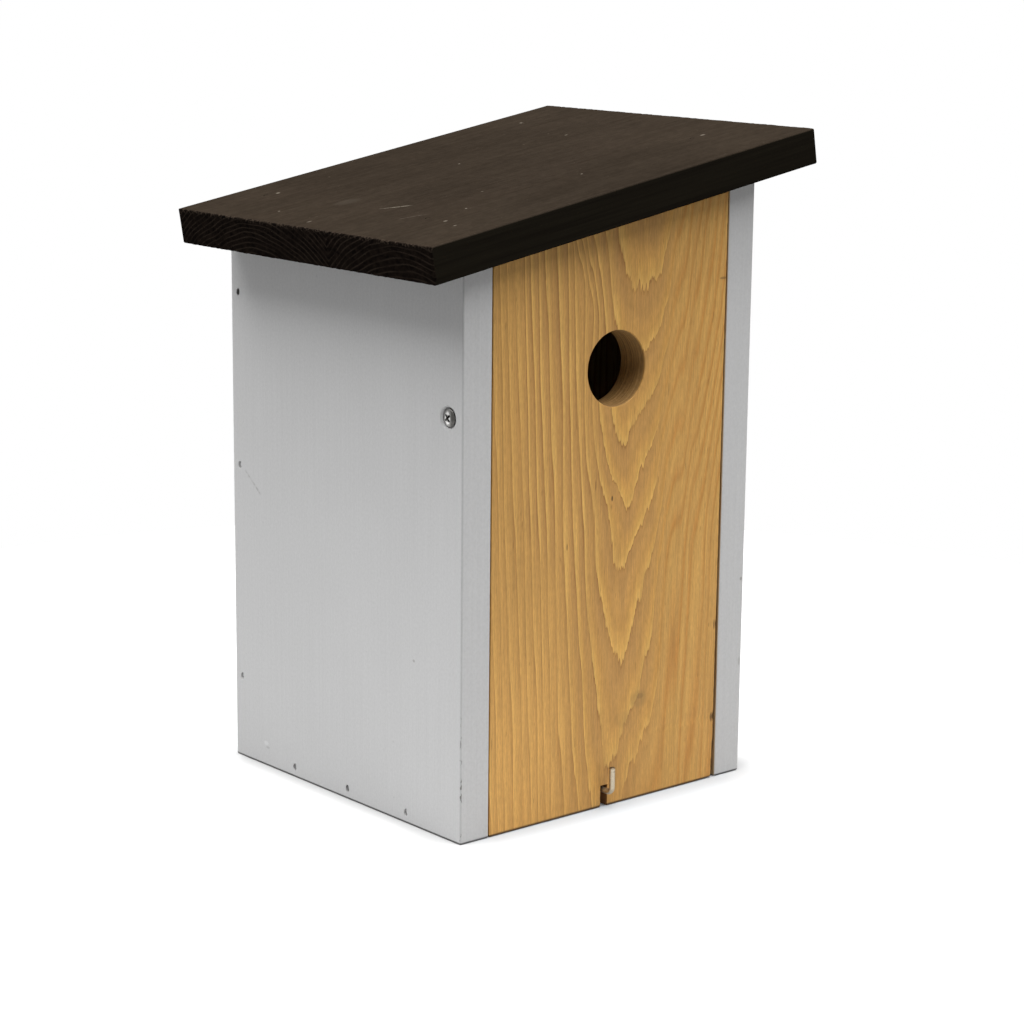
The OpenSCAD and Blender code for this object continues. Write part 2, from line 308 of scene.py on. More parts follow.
def add_rod(name, middle, axis, radius, length, sides):
    turn = Vector(axis).to_track_quat("Z", "Y").to_euler()
    bpy.ops.object.select_all(action="DESELECT")
    bpy.ops.mesh.primitive_cylinder_add(
        vertices=sides, radius=radius, depth=length, location=middle, rotation=turn)
    return settle(name)


def add_disc(name, middle, axis, radius, sides):
    turn = Vector(axis).to_track_quat("Z", "Y").to_euler()
    bpy.ops.object.select_all(action="DESELECT")
    bpy.ops.mesh.primitive_circle_add(
        vertices=sides, radius=radius, fill_type="NGON", location=middle, rotation=turn)
    return settle(name)


def open_mesh(piece):
    bpy.ops.object.select_all(action="DESELECT")
    piece.select_set(True)
    bpy.context.view_layer.objects.active = piece
    bpy.ops.object.mode_set(mode="EDIT")


def close_mesh():
    bpy.ops.object.mode_set(mode="OBJECT")


def pick_points(piece, wanted):
    """Selects the points whose place passes the test."""
    bpy.ops.mesh.select_mode(type="VERT")
    bpy.ops.mesh.select_all(action="DESELECT")
    mesh = bmesh.from_edit_mesh(piece.data)
    for point in mesh.verts:
        if wanted(point.co):
            point.select_set(True)
    mesh.select_flush(True)
    bmesh.update_edit_mesh(piece.data)


def pick_faces(piece, wanted):
    """Selects the faces whose middle and normal pass the test."""
    bpy.ops.mesh.select_mode(type="FACE")
    bpy.ops.mesh.select_all(action="DESELECT")
    mesh = bmesh.from_edit_mesh(piece.data)
    for face in mesh.faces:
        if wanted(face.calc_center_median(), face.normal):
            face.select_set(True)
    bmesh.update_edit_mesh(piece.data)


def ease_edges(piece, width):
    open_mesh(piece)
    bpy.ops.mesh.select_all(action="SELECT")
    bpy.ops.mesh.bevel(offset=width, segments=EDGE_ROUNDS, affect="EDGES")
    close_mesh()


def slice_across(piece, axis, low, high, step):
    """Cuts the mesh into slices along an axis, so that its edges can be worn."""
    normal = Vector((0, 0, 0))
    normal[axis] = 1
    open_mesh(piece)
    for number in range(1, int((high - low) / step)):
        bpy.ops.mesh.select_all(action="SELECT")
        bpy.ops.mesh.bisect(plane_co=normal * (low + number * step), plane_no=normal)
    close_mesh()


def roughen(piece, wanted, amount, seed):
    open_mesh(piece)
    pick_points(piece, wanted)
    bpy.ops.transform.vertex_random(offset=amount, uniform=1.0, normal=0.0, seed=seed)
    close_mesh()


def shift_points(piece, wanted, offset):
    open_mesh(piece)
    pick_points(piece, wanted)
    bpy.ops.transform.translate(value=offset)
    close_mesh()


def press_flat(piece, axis, level, way):
    """Presses the points that pass a face back onto it."""
    size = [1, 1, 1]
    size[axis] = 0
    centre = [0, 0, 0]
    centre[axis] = level
    open_mesh(piece)
    pick_points(piece, lambda p: (p[axis] - level) * way > 0)
    bpy.ops.transform.resize(value=size, center_override=centre)
    close_mesh()


def cut(piece, cutter):
    change = piece.modifiers.new("cut", "BOOLEAN")
    change.operation = "DIFFERENCE"
    change.solver = "EXACT"
    change.object = cutter
    bpy.context.view_layer.objects.active = piece
    bpy.ops.object.modifier_apply(modifier=change.name)
    bpy.data.objects.remove(cutter)


def weld(piece):
    """Joins points that a cut has left on top of each other."""
    open_mesh(piece)
    bpy.ops.mesh.select_all(action="SELECT")
    bpy.ops.mesh.remove_doubles(threshold=HAIR)
    close_mesh()


def finish_piece(piece, body, slot, finish, *nodes):
    """Shades the piece, gives it its finish and sets it on the frame in place of its nodes."""
    bpy.ops.object.select_all(action="DESELECT")
    piece.select_set(True)
    bpy.context.view_layer.objects.active = piece
    bpy.ops.object.shade_smooth_by_angle(angle=SMOOTH_ANGLE)
    even = piece.modifiers.new("even_shading", "WEIGHTED_NORMAL")
    even.keep_sharp = True
    bpy.ops.object.modifier_apply(modifier=even.name)
    piece.data.materials.clear()
    piece.data.materials.append(finish)
    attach(piece, body)
    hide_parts(*nodes)


# Boards

def add_upright(name, node):
    """A board whose top follows the roof's slope."""
    low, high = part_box(node)
    board = add_block(name, low, high)
    drop = Vector((0, 0, -RISE * (high.x - low.x)))
    shift_points(board, lambda p: p.z > high.z - HAIR and p.x < high.x - HAIR, drop)
    return board


def cut_nail_pocket(board, nail, outward, seed):
    """A ragged oval hole down to the head of a nail that was punched below the surface."""
    low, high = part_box(nail)
    head = (low + high) / 2 + outward * NAIL_LEN / 2
    middle = head + outward * (POCKET_ABOVE - POCKET_BELOW) / 2
    deep = POCKET_ABOVE + POCKET_BELOW
    pocket = add_rod("pocket", middle, outward, NAIL_HEAD_D / 2, deep, POCKET_SIDES)
    open_mesh(pocket)
    bpy.ops.mesh.select_all(action="SELECT")
    bpy.ops.transform.resize(value=(1, POCKET_WIDE, POCKET_TALL), center_override=middle)
    bpy.ops.transform.vertex_random(offset=POCKET_RAGGED, uniform=1.0, normal=0.0, seed=seed)
    bpy.ops.mesh.quads_convert_to_tris()
    close_mesh()
    cut(board, pocket)


def cut_dish(board, face, outward, wide, deep):
    """A shallow round hollow in a face."""
    radius = (wide * wide / 4 + deep * deep) / (2 * deep)
    bpy.ops.object.select_all(action="DESELECT")
    bpy.ops.mesh.primitive_uv_sphere_add(
        segments=SINK_SIDES, ring_count=DISH_RINGS, radius=radius,
        location=face + outward * (radius - deep), rotation=(0, QUARTER_TURN, 0))
    cut(board, settle("dish"))


def cut_countersink(board, face, outward):
    """The cone that a screw's head turns in, with a rim that paint has softened."""
    wide = SINK_D / 2 + SINK_ABOVE
    narrow = SCREW_SHANK_D / 2 + SCREW_PLAY
    turn = (-outward).to_track_quat("Z", "Y").to_euler()
    bpy.ops.object.select_all(action="DESELECT")
    bpy.ops.mesh.primitive_cone_add(
        vertices=SINK_SIDES, radius1=wide, radius2=narrow, depth=wide - narrow,
        location=face + outward * (SINK_ABOVE - (wide - narrow) / 2), rotation=turn)
    cut(board, settle("countersink"))
    cut(board, add_rod("bore", face, outward, narrow, THROUGH, SINK_SIDES))
    cut_dish(board, face, outward, SINK_SOFT_D, SINK_SOFT_DEEP)


def round_foot(wall, corner_x):
    """Rounds a lower edge of a wall further, as knocks have done."""
    near = WALL_EDGE + HAIR
    open_mesh(wall)
    pick_points(wall, lambda p: abs(p.x - corner_x) < near and p.z < near)
    bpy.ops.transform.resize(value=(FOOT_GROW, 1, FOOT_GROW), center_override=(corner_x, 0, 0))
    close_mesh()


def side_wall(side, outward, finish):
    wall = add_upright(f"{side}_wall_painted", f"{side}_wall")
    ease_edges(wall, WALL_EDGE)
    if side == "right":
        round_foot(wall, RIGHT_LOW.x)
        round_foot(wall, RIGHT_HIGH.x)
    screw_low, screw_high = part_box(f"{side}_pivot_screw")
    screw_face = (screw_low + screw_high) / 2
    screw_face.x = RIGHT_HIGH.x * outward.x
    cut_countersink(wall, screw_face, outward)
    nails = ("back_nail_low", "back_nail_mid", "back_nail_high",
             "floor_nail_front", "floor_nail_mid", "floor_nail_back")
    for seed, nail in enumerate(nails):
        cut_nail_pocket(wall, f"{side}_{nail}", outward, seed)
    weld(wall)
    finish_piece(wall, "box", "grey_paint", finish, f"{side}_wall")


def back_wall(finish):
    wall = add_upright("back_wall_painted", "back_wall")
    ease_edges(wall, WALL_EDGE)
    for mount in frame["record"]["mounts"]:
        if mount["name"] == "hanging_hole":
            radius = mount["dims"]["r_mm"] * MM
            cut(wall, add_rod("hang", Vector(mount["pos_m"]), (0, 1, 0), radius, THROUGH, BORE_SIDES))
    finish_piece(wall, "box", "grey_paint", finish, "back_wall")


def floor_board(finish):
    board = add_block("floor_board_bare", FLOOR_LOW, FLOOR_HIGH)
    ease_edges(board, WALL_EDGE)
    hook_low, hook_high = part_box("latch_hook")
    radius = (hook_high.x - hook_low.x) / 2
    middle = Vector(((hook_low.x + hook_high.x) / 2, FLOOR_LOW.y, hook_low.z + radius))
    length = 2 * (hook_high.y - FLOOR_LOW.y) + MM
    cut(board, add_rod("bore", middle, (0, 1, 0), radius + HOOK_PLAY, length, BORE_SIDES))
    finish_piece(board, "box", "bare_wood", finish, "floor_board")


def roof_board(finish):
    half = Vector((ROOF_LEN, ROOF_SPAN.y, ROOF_T)) / 2
    board = add_block("roof_board_stained", -half, half)
    ease_edges(board, ROOF_EDGE)
    slice_across(board, 1, -half.y, half.y, ROOF_SLICE_Y)
    slice_across(board, 0, -half.x, half.x, ROOF_SLICE_X)
    inner = half - Vector((1, 1, 1)) * 2 * ROOF_EDGE
    at_end = lambda p: abs(p.x) > inner.x and abs(p.z) > inner.z and abs(p.x) < half.x - HAIR
    roughen(board, at_end, ROOF_ROUGH, ROOF_SEED)
    for way in (-1, 1):
        for axis in range(3):
            press_flat(board, axis, half[axis] * way, way)
    board.location = ROOF_MIDDLE
    board.rotation_euler = (0, -SLOPE, 0)
    bpy.ops.object.transform_apply(location=True, rotation=True, scale=True)
    for number, side in enumerate(("left", "right")):
        for place in ("front", "back"):
            cut_nail_pocket(board, f"{side}_roof_nail_{place}", ROOF_NORMAL, ROOF_NAIL_SEED + number)
    finish_piece(board, "box", "dark_stain", finish, "roof_board")


def entrance_cutter():
    """A rod that flares at the panel's two faces, so that the hole gets an eased rim."""
    middle = Vector((HOLE_X, (PANEL_LOW.y + PANEL_HIGH.y) / 2, HOLE_Z))
    radius = HOLE_D / 2
    thick = PANEL_HIGH.y - PANEL_LOW.y
    rod = add_rod("entrance", middle, (0, 1, 0), radius, thick - 2 * HOLE_EASE, HOLE_SIDES)
    open_mesh(rod)
    for way in (-1, 1):
        pick_faces(rod, lambda c, n: n.y * way > FACING)
        bpy.ops.mesh.extrude_region_move(TRANSFORM_OT_translate={"value": (0, way * 2 * HOLE_EASE, 0)})
        grow = (radius + 2 * HOLE_EASE) / radius
        bpy.ops.transform.resize(value=(grow, 1, grow), center_override=middle)
    close_mesh()
    return rod


def wear_foot(panel):
    """Rounds the panel's lower right corner, which has rubbed on the ground."""
    open_mesh(panel)
    for inward, lift in PANEL_FOOT:
        place = Vector((PANEL_HIGH.x - PANEL_TAPER - inward, 0, 0))
        if inward:
            bpy.ops.mesh.select_all(action="SELECT")
            bpy.ops.mesh.bisect(plane_co=place, plane_no=(1, 0, 0))
    for inward, lift in PANEL_FOOT:
        start = PANEL_HIGH.x - PANEL_TAPER - inward - 2 * PANEL_EDGE
        pick_points(panel, lambda p: p.x > start and p.z < PANEL_LOW.z + 3 * PANEL_EDGE)
        bpy.ops.transform.translate(value=(0, 0, lift))
    close_mesh()


def skew_panel(panel):
    """Sets the panel's edges a little out of square."""
    right_low = lambda p: p.x > PANEL_HIGH.x - HAIR and p.z < PANEL_LOW.z + HAIR
    shift_points(panel, right_low, Vector((-PANEL_TAPER, 0, 0)))
    right_high = lambda p: p.x > PANEL_HIGH.x - HAIR and p.z > PANEL_LOW.z + HAIR
    shift_points(panel, right_high, Vector((PANEL_SPREAD, 0, 0)))
    left = lambda p: p.x < PANEL_LOW.x + HAIR
    shift_points(panel, left, Vector((-PANEL_LEFT_SPREAD, 0, 0)))


def wear_edge(panel):
    """Roughens the panel's right edge, wears its foot and tears splinters out of it."""
    edge = 3 * PANEL_EDGE
    right = lambda p: p.x > PANEL_HIGH.x - PANEL_TAPER - edge
    front = lambda p: p.y < PANEL_LOW.y + edge
    roughen(panel, lambda p: right(p) and front(p), PANEL_ROUGH, PANEL_SEED)
    for low, high, deep in PANEL_WEAR:
        worn = lambda p: right(p) and low < p.z < high
        shift_points(panel, worn, Vector((-deep, 0, 0)))
    for low, high, deep in PANEL_SPLINTERS:
        inside = lambda p: right(p) and front(p) and low < p.z < high
        shift_points(panel, inside, Vector((-deep, deep / 2, 0)))


def front_panel(finish):
    panel = add_upright("front_panel_oiled", "front_panel")
    skew_panel(panel)
    ease_edges(panel, PANEL_EDGE)
    slice_across(panel, 2, PANEL_LOW.z, PANEL_HIGH.z, PANEL_SLICE)
    wear_edge(panel)
    wear_foot(panel)
    cut(panel, entrance_cutter())
    notch_low = Vector((NOTCH_X - NOTCH_W / 2, PANEL_LOW.y - MM, PANEL_LOW.z - MM))
    notch_high = Vector((NOTCH_X + NOTCH_W / 2, PANEL_HIGH.y + MM, NOTCH_H))
    cut(panel, add_block("notch", notch_low, notch_high))
    finish_piece(panel, "front", "oiled_wood", finish, "front_panel")


# Screws and hook

def cut_cross(screw, crown, outward):
    """A cross recess whose two arms taper inwards."""
    for wide, tall in ((CROSS_THICK, CROSS_LONG), (CROSS_LONG, CROSS_THICK)):
        size = Vector((CROSS_DEEP, wide, tall)) * MM
        arm = add_block("cross", crown - size, crown + size)
        open_mesh(arm)
        pick_faces(arm, lambda c, n: n.x * outward.x < -FACING)
        bpy.ops.transform.resize(value=(1, CROSS_TAPER, CROSS_TAPER), center_override=crown)
        bpy.ops.mesh.select_all(action="SELECT")
        bpy.ops.transform.rotate(value=CROSS_TURN, orient_axis="X", center_override=crown)
        close_mesh()
        cut(screw, arm)


def pivot_screw(name, node, outward):
    """A countersunk screw with a raised crown and a cross recess."""
    low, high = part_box(node)
    crown = (low + high) / 2 + outward * (high.x - low.x) / 2
    rim = crown - outward * SCREW_CROWN
    radius = (high.y - low.y) / 2
    shank_r = SCREW_SHANK_D / 2
    screw = add_disc(name, rim - outward * SCREW_RIM, outward, radius, SCREW_SIDES)
    open_mesh(screw)
    bpy.ops.mesh.select_all(action="SELECT")
    bpy.ops.mesh.extrude_region_move(TRANSFORM_OT_translate={"value": outward * SCREW_RIM})
    for wide, rise in SCREW_DOME:
        bpy.ops.mesh.inset(thickness=wide * MM, depth=rise * MM)
    pick_faces(screw, lambda c, n: n.x * outward.x < -FACING)
    bpy.ops.mesh.extrude_region_move(TRANSFORM_OT_translate={"value": -outward * (radius - shank_r)})
    narrow = shank_r / radius
    bpy.ops.transform.resize(value=(1, narrow, narrow), center_override=rim)
    whole = high.x - low.x
    shank = whole - SCREW_TIP - SCREW_CROWN - (radius - shank_r)
    bpy.ops.mesh.extrude_region_move(TRANSFORM_OT_translate={"value": -outward * shank})
    bpy.ops.mesh.extrude_region_move(TRANSFORM_OT_translate={"value": -outward * SCREW_TIP})
    bpy.ops.transform.resize(value=(1, SCREW_POINT, SCREW_POINT), center_override=rim)
    bpy.ops.mesh.select_all(action="SELECT")
    bpy.ops.mesh.normals_make_consistent(inside=False)
    close_mesh()
    cut_cross(screw, crown, outward)
    return screw


def copy_turned(piece, name, centre):
    """A copy with its own mesh, turned half round an upright line."""
    bpy.ops.object.select_all(action="DESELECT")
    piece.select_set(True)
    bpy.context.view_layer.objects.active = piece
    bpy.ops.object.duplicate(linked=False)
    bpy.ops.transform.rotate(value=math.pi, orient_axis="Z", center_override=centre)
    return settle(name)


def pivot_screws(finish):
    """The left screw, and its copy turned round the middle of the box."""
    low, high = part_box("left_pivot_screw")
    first = pivot_screw("left_pivot_screw_zinc", "left_pivot_screw", Vector((-1, 0, 0)))
    second = copy_turned(first, "right_pivot_screw_zinc", (0, (low.y + high.y) / 2, 0))
    finish_piece(first, "front", "zinc_screw", finish, "left_pivot_screw")
    finish_piece(second, "front", "zinc_screw", finish, "right_pivot_screw")


def latch_hook(finish):
    low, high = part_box("latch_hook")
    radius = (high.x - low.x) / 2
    middle_x = (low.x + high.x) / 2
    arm_y = low.y + radius
    wire_z = low.z + radius
    top = Vector((middle_x, arm_y, high.z))
    hook = add_disc("latch_hook_wire", top, (0, 0, 1), radius, HOOK_SIDES)
    open_mesh(hook)
    bpy.ops.mesh.select_all(action="SELECT")
    drop = high.z - wire_z - HOOK_BEND
    bpy.ops.mesh.extrude_region_move(TRANSFORM_OT_translate={"value": (0, 0, -drop)})
    bpy.ops.mesh.spin(
        steps=HOOK_STEPS, angle=-QUARTER_TURN,
        center=(middle_x, arm_y + HOOK_BEND, wire_z + HOOK_BEND), axis=(1, 0, 0))
    run = high.y - arm_y - HOOK_BEND
    bpy.ops.mesh.extrude_region_move(TRANSFORM_OT_translate={"value": (0, run, 0)})
    bpy.ops.mesh.select_all(action="SELECT")
    bpy.ops.mesh.remove_doubles(threshold=HAIR)
    bpy.ops.mesh.normals_make_consistent(inside=False)
    pick_faces(hook, lambda c, n: n.z > FACING and c.z > high.z - HAIR)
    bpy.ops.transform.translate(value=(0, 0, -HOOK_END_DROP))
    for wide, rise in HOOK_END:
        bpy.ops.mesh.inset(thickness=wide * MM, depth=rise * MM)
    close_mesh()
    finish_piece(hook, "latch", "zinc_wire", finish, "latch_hook")


# Materials

def srgb(red, green, blue):
    """A display colour, 0 to 255, as a shader colour."""
    def linear(value):
        share = value / 255
        return share / 12.92 if share <= 0.04045 else ((share + 0.055) / 1.055) ** 2.4
    return (linear(red), linear(green), linear(blue), 1.0)


class Finish:
    """A material's nodes, wired by short calls. Places are in millimetres."""

    def __init__(self, name):
        self.material = bpy.data.materials.new(name)
        self.material.use_nodes = True
        self.tree = self.material.node_tree
        self.tree.nodes.clear()
        self.shader = self.add("ShaderNodeBsdfPrincipled")
        output = self.add("ShaderNodeOutputMaterial")
        self.tree.links.new(self.shader.outputs["BSDF"], output.inputs["Surface"])

    def add(self, kind, **settings):
        node = self.tree.nodes.new(kind)
        for name, value in settings.items():
            setattr(node, name, value)
        return node

    def feed(self, socket, value):
        if isinstance(value, bpy.types.NodeSocket):
            self.tree.links.new(value, socket)
        else:
            socket.default_value = value

    def math(self, operation, *values):
        node = self.add("ShaderNodeMath", operation=operation)
        for socket, value in zip(node.inputs, values):
            self.feed(socket, value)
        return node.outputs[0]

    def times(self, value, amount):
        return self.math("MULTIPLY", value, amount)

    def less(self, value, amount):
        return self.math("SUBTRACT", value, amount)

    def size(self, value):
        """A number without its sign."""
        return self.math("ABSOLUTE", value)

    def place(self, centre=(0, 0, 0), turn=(0, 0, 0)):
        """Object coordinates in millimetres, measured from a centre and turned with a board."""
        source = self.add("ShaderNodeTexCoord")
        mapping = self.add("ShaderNodeMapping", vector_type="TEXTURE")
        self.feed(mapping.inputs["Vector"], source.outputs["Object"])
        mapping.inputs["Location"].default_value = centre
        mapping.inputs["Rotation"].default_value = turn
        mapping.inputs["Scale"].default_value = (MM, MM, MM)
        return mapping.outputs[0]

    def split(self, vector):
        node = self.add("ShaderNodeSeparateXYZ")
        self.feed(node.inputs[0], vector)
        return node.outputs[0], node.outputs[1], node.outputs[2]

    def grain(self, vector, stretch, detail, rough, shift):
        """Noise from 0 to 1, with so many patches to a millimetre along each axis."""
        mapping = self.add("ShaderNodeMapping")
        self.feed(mapping.inputs["Vector"], vector)
        mapping.inputs["Scale"].default_value = stretch
        mapping.inputs["Location"].default_value = (shift, shift, shift)
        noise = self.add("ShaderNodeTexNoise")
        self.feed(noise.inputs["Vector"], mapping.outputs[0])
        noise.inputs["Scale"].default_value = 1.0
        noise.inputs["Detail"].default_value = detail
        noise.inputs["Roughness"].default_value = rough
        return noise.outputs["Fac"]

    def range(self, value, low, high, to_low=0.0, to_high=1.0):
        """Eases a value from one span to another."""
        node = self.add("ShaderNodeMapRange", interpolation_type="SMOOTHSTEP")
        for socket, setting in zip(node.inputs, (value, low, high, to_low, to_high)):
            self.feed(socket, setting)
        return node.outputs[0]

    def fade(self, value, low, high):
        """1 below a span and 0 above it."""
        return self.range(value, low, high, 1.0, 0.0)

    def ramp(self, value, stops):
        """A colour that goes through display colours at given values."""
        node = self.add("ShaderNodeValToRGB")
        self.feed(node.inputs[0], value)
        elements = node.color_ramp.elements
        while len(elements) < len(stops):
            elements.new(1.0)
        for element, (position, colour) in zip(elements, stops):
            element.position = position
            element.color = srgb(*colour)
        return node.outputs["Color"]

    def mix(self, share, first, second, blend="MIX"):
        node = self.add("ShaderNodeMix", data_type="RGBA", blend_type=blend)
        self.feed(node.inputs[0], share)
        self.feed(node.inputs[6], first)
        self.feed(node.inputs[7], second)
        return node.outputs[2]

    def tone(self, colour, level):
        """A colour made lighter or darker by a number."""
        node = self.add("ShaderNodeVectorMath", operation="SCALE")
        self.feed(node.inputs[0], colour if isinstance(colour, bpy.types.NodeSocket) else colour[:3])
        self.feed(node.inputs["Scale"], level)
        return node.outputs[0]

    def shade(self, colour, value, span):
        """A colour made lighter or darker by a value that goes through a span."""
        return self.tone(colour, self.range(value, *span))

    def blot(self, colour, mask, share, tint):
        """A colour with a share of a display colour where a mask is."""
        return self.mix(self.times(mask, share), colour, srgb(*tint))

    def bump(self, height, deep):
        """Relief of a height from 0 to 1, so many millimetres deep."""
        node = self.add("ShaderNodeBump")
        self.feed(node.inputs["Height"], height)
        node.inputs["Distance"].default_value = deep * MM
        return node.outputs[0]

    def sway(self, noise, amount):
        """Noise turned into a swing to both sides of nothing."""
        return self.times(self.less(noise, 0.5), amount)

    def total(self, *values):
        whole = values[0]
        for value in values[1:]:
            whole = self.math("ADD", whole, value)
        return whole

    def steps(self, value, points):
        """A curve through a few given points, each from 0 to 1."""
        node = self.add("ShaderNodeFloatCurve")
        self.feed(node.inputs["Value"], value)
        line = node.mapping.curves[0]
        line.points[0].location = points[0]
        line.points[1].location = points[-1]
        for point in points[1:-1]:
            line.points.new(*point)
        node.mapping.update()
        return node.outputs[0]

    def far(self, *sides):
        """Distance from the square root of the sides' squares."""
        return self.math("SQRT", self.total(*[self.times(side, side) for side in sides]))

    def spot(self, a, b, at, size, hard=0.5):
        """A soft-edged oval mark: 1 inside it and 0 outside."""
        da = self.math("DIVIDE", self.less(a, at[0]), size[0])
        db = self.math("DIVIDE", self.less(b, at[1]), size[1])
        return self.fade(self.far(da, db), hard, 1.0)

    def stroke(self, a, b, start, end, wide):
        """A soft-edged straight mark from one place to another."""
        run = Vector(end) - Vector(start)
        way = run.normalized()
        da = self.less(a, start[0])
        db = self.less(b, start[1])
        along = self.total(self.times(da, way.x), self.times(db, way.y))
        across = self.total(self.times(da, -way.y), self.times(db, way.x))
        line = self.fade(self.size(across), wide / 3, wide)
        first = self.range(along, 0.0, 3 * wide)
        last = self.fade(along, run.length - 3 * wide, run.length)
        return self.both(line, first, last)

    def either(self, *masks):
        whole = masks[0]
        for mask in masks[1:]:
            whole = self.math("MAXIMUM", whole, mask)
        return whole

    def both(self, *masks):
        whole = masks[0]
        for mask in masks[1:]:
            whole = self.times(whole, mask)
        return whole

    def surface(self, colour, roughness, normal):
        self.feed(self.shader.inputs["Base Color"], colour)
        self.feed(self.shader.inputs["Roughness"], roughness)
        self.feed(self.shader.inputs["Normal"], normal)
        return self.material


# Front panel. A span is two places in millimetres, or two values and what they turn into.
# A grain is its patches to a millimetre along each axis, its detail, its roughness and its shift.
TEETH = ((0.85, 0.6, 0.03), 1.0, 0.5, 0.0)
TEETH_SWAY = 0.3
JOGS = ((0.2, 0.2, 0.02), 1.0, 0.5, 3.0)
JOGS_SWAY = 0.5
DRIFT = ((0.08, 0.03, 0.0025), 2.0, 0.5, 7.0)
DRIFT_SWAY = 2.8
DRIFT_SPAN = (6.0, 30.0, 0.1, 1.0)
WILD_SPAN = (9.0, 24.0, 1.0, 0.3)
# Colours through one ring: at the torn arches, elsewhere, on the right and on the upper left
CRISP_STOPS = (
    (0.0, (152, 106, 54)), (0.06, (178, 133, 75)), (0.32, (185, 140, 79)), (0.62, (194, 146, 78)),
    (0.86, (209, 161, 84)), (0.97, (219, 174, 95)), (1.0, (202, 157, 84)))
PLAIN_STOPS = (
    (0.0, (173, 127, 68)), (0.1, (180, 135, 73)), (0.24, (189, 144, 79)), (0.6, (194, 148, 81)),
    (0.86, (203, 157, 86)), (0.97, (209, 163, 90)), (1.0, (183, 138, 76)))
STREAKY_STOPS = (
    (0.0, (199, 153, 82)), (0.4, (204, 158, 87)), (0.68, (195, 145, 76)), (0.85, (187, 132, 65)),
    (1.0, (196, 149, 79)))
FLANK_STOPS = (
    (0.0, (154, 108, 56)), (0.12, (172, 127, 71)), (0.26, (184, 139, 79)), (0.6, (194, 148, 82)),
    (0.78, (211, 165, 91)), (0.94, (220, 175, 97)), (1.0, (182, 137, 74)))
FLANK_SPAN = (-16.0, -9.0)
FLANK_HEIGHTS = (60.0, 130.0)
PLAIN_LEFT = (70.0, 150.0, -34.0, -66.0)
PLAIN_SOFT = 16.0
PLAIN_LOW = (10.0, 60.0, 0.5, 0.0)
# Faint patches, and weaker lines between the rings
FAINT = ((0.16, 0.16, 0.008), 2.0, 0.5, 29.0)
FAINT_SPAN = (0.42, 0.65, 0.0, 0.55)
FAINT_OIL = (192, 146, 80)
BETWEEN_RINGS = 2.3
BETWEEN_DRIFT = 1.7
BETWEEN_SPAN = (0.1, 0.5, 1.015)
BETWEEN_DEEP = (-40.0, -15.0, 0.975, 0.95)
FIBRES = ((1.25, 1.25, 0.04), 3.0, 0.65, 0.0)
FIBRE_TONE = (0.33, 0.67, 0.9, 1.09)
HAIRS = ((2.0, 2.0, 0.3), 2.0, 0.6, 37.0)
HAIR_TONE = (0.3, 0.7, 0.91, 1.08)
OIL_CLOUDS = ((0.045, 0.05, 0.012), 2.0, 0.5, 11.0)
OIL_CLOUD_TONE = (0.3, 0.7, 0.96, 1.03)
# Painted light: the panel's lower left made paler
PAINTED_LIGHT_SIDES = (-45.0, -5.0)
PAINTED_LIGHT_HEIGHTS = (20.0, 110.0)
PAINTED_LIGHT_TONE = (0.0, 1.0, 1.0, 1.12)
# Painted contact shade: a dark band along the panel's bottom edge
BASE_SHADE_SHARE = 0.9
PANEL_BASE_SHADE_SPAN = (0.7, 1.5)
PANEL_BASE_SHADE = (52, 37, 24)
PORES = ((0.9, 0.9, 0.11), 2.0, 0.5, 17.0)
PORE_SPAN = (0.66, 0.73)
PORE_SHARE = 0.38
PORE_BROWN = (116, 78, 38)
# Bore of the entrance, its scored wood darkened partly as painted shade, and painted shade inside the notch
BORE_REACH = (16.4, 16.7)
BORE_FRONT = (0.5, 0.9)
SCORES = ((0.03, 1.6, 0.03), 2.0, 0.6, 21.0)
BORE_SHADED_STOPS = ((0.3, (118, 88, 52)), (0.55, (160, 124, 76)), (0.75, (182, 146, 94)))
MOTTLE = ((1.1, 0.8, 0.25), 3.0, 0.65, 61.0)
MOTTLE_TONE = (0.3, 0.7, 0.84, 1.14)
NOTCH_REACH = (2.3, 2.6)
NOTCH_HEIGHTS = (10.0, 10.4)
NOTCH_FRONT = (0.3, 0.7)
NOTCH_SHADE_BROWN = (138, 98, 60)
OIL_ROUGH = (0.2, 0.8, 0.52, 0.66)
OIL_SHINE = 0.3
# Relief in millimetres, and the shares of fibres and rings in it
OIL_RELIEF = 0.09
FIBRE_SHARE = 0.5
RING_SHARE = 0.35


def arch_side(f, x, z):
    """Sideways distance from the arches' swaying middle."""
    straight = f.less(x, ARCH_LINE)
    up = f.math("DIVIDE", z, ARCH_TOP)
    swing = f.steps(up, [(at / ARCH_TOP, middle / ARCH_REACH) for at, middle in ARCH_MIDDLE])
    swing = f.less(f.times(swing, ARCH_REACH), ARCH_LINE)
    return f.less(straight, f.both(swing, f.fade(f.size(straight), *ARCH_NEAR_LINE)))


def arch_lift(f, side, z):
    """How much higher an arch's line runs beside its tip than at the tip."""
    away = f.size(side)
    open_right = f.range(z, *ARCH_OPEN_HEIGHTS, *ARCH_OPEN_RIGHT)
    wider = f.range(side, *ARCH_CREST, ARCH_OPEN_LEFT, open_right)
    bent = f.math("MINIMUM", side, f.range(z, *ARCH_STRAIGHT_HEIGHTS, *ARCH_STRAIGHT))
    bent = f.math("MAXIMUM", bent, -ARCH_STRAIGHT_LEFT)
    squared = f.times(bent, f.less(f.times(side, 2.0), bent))
    near_top = f.less(z, f.math("DIVIDE", f.times(side, side), ARCH_BLUNT))
    wider = f.range(near_top, *ARCH_BLUNT_HEIGHTS, wider, ARCH_BLUNT)
    sharp = f.range(near_top, *ARCH_SHARP_HEIGHTS, *ARCH_SHARP)
    sharp = f.both(sharp, f.range(away, *ARCH_SHARP_NEAR), f.fade(away, *ARCH_SHARP_FAR))
    return f.total(f.math("DIVIDE", squared, wider), sharp)


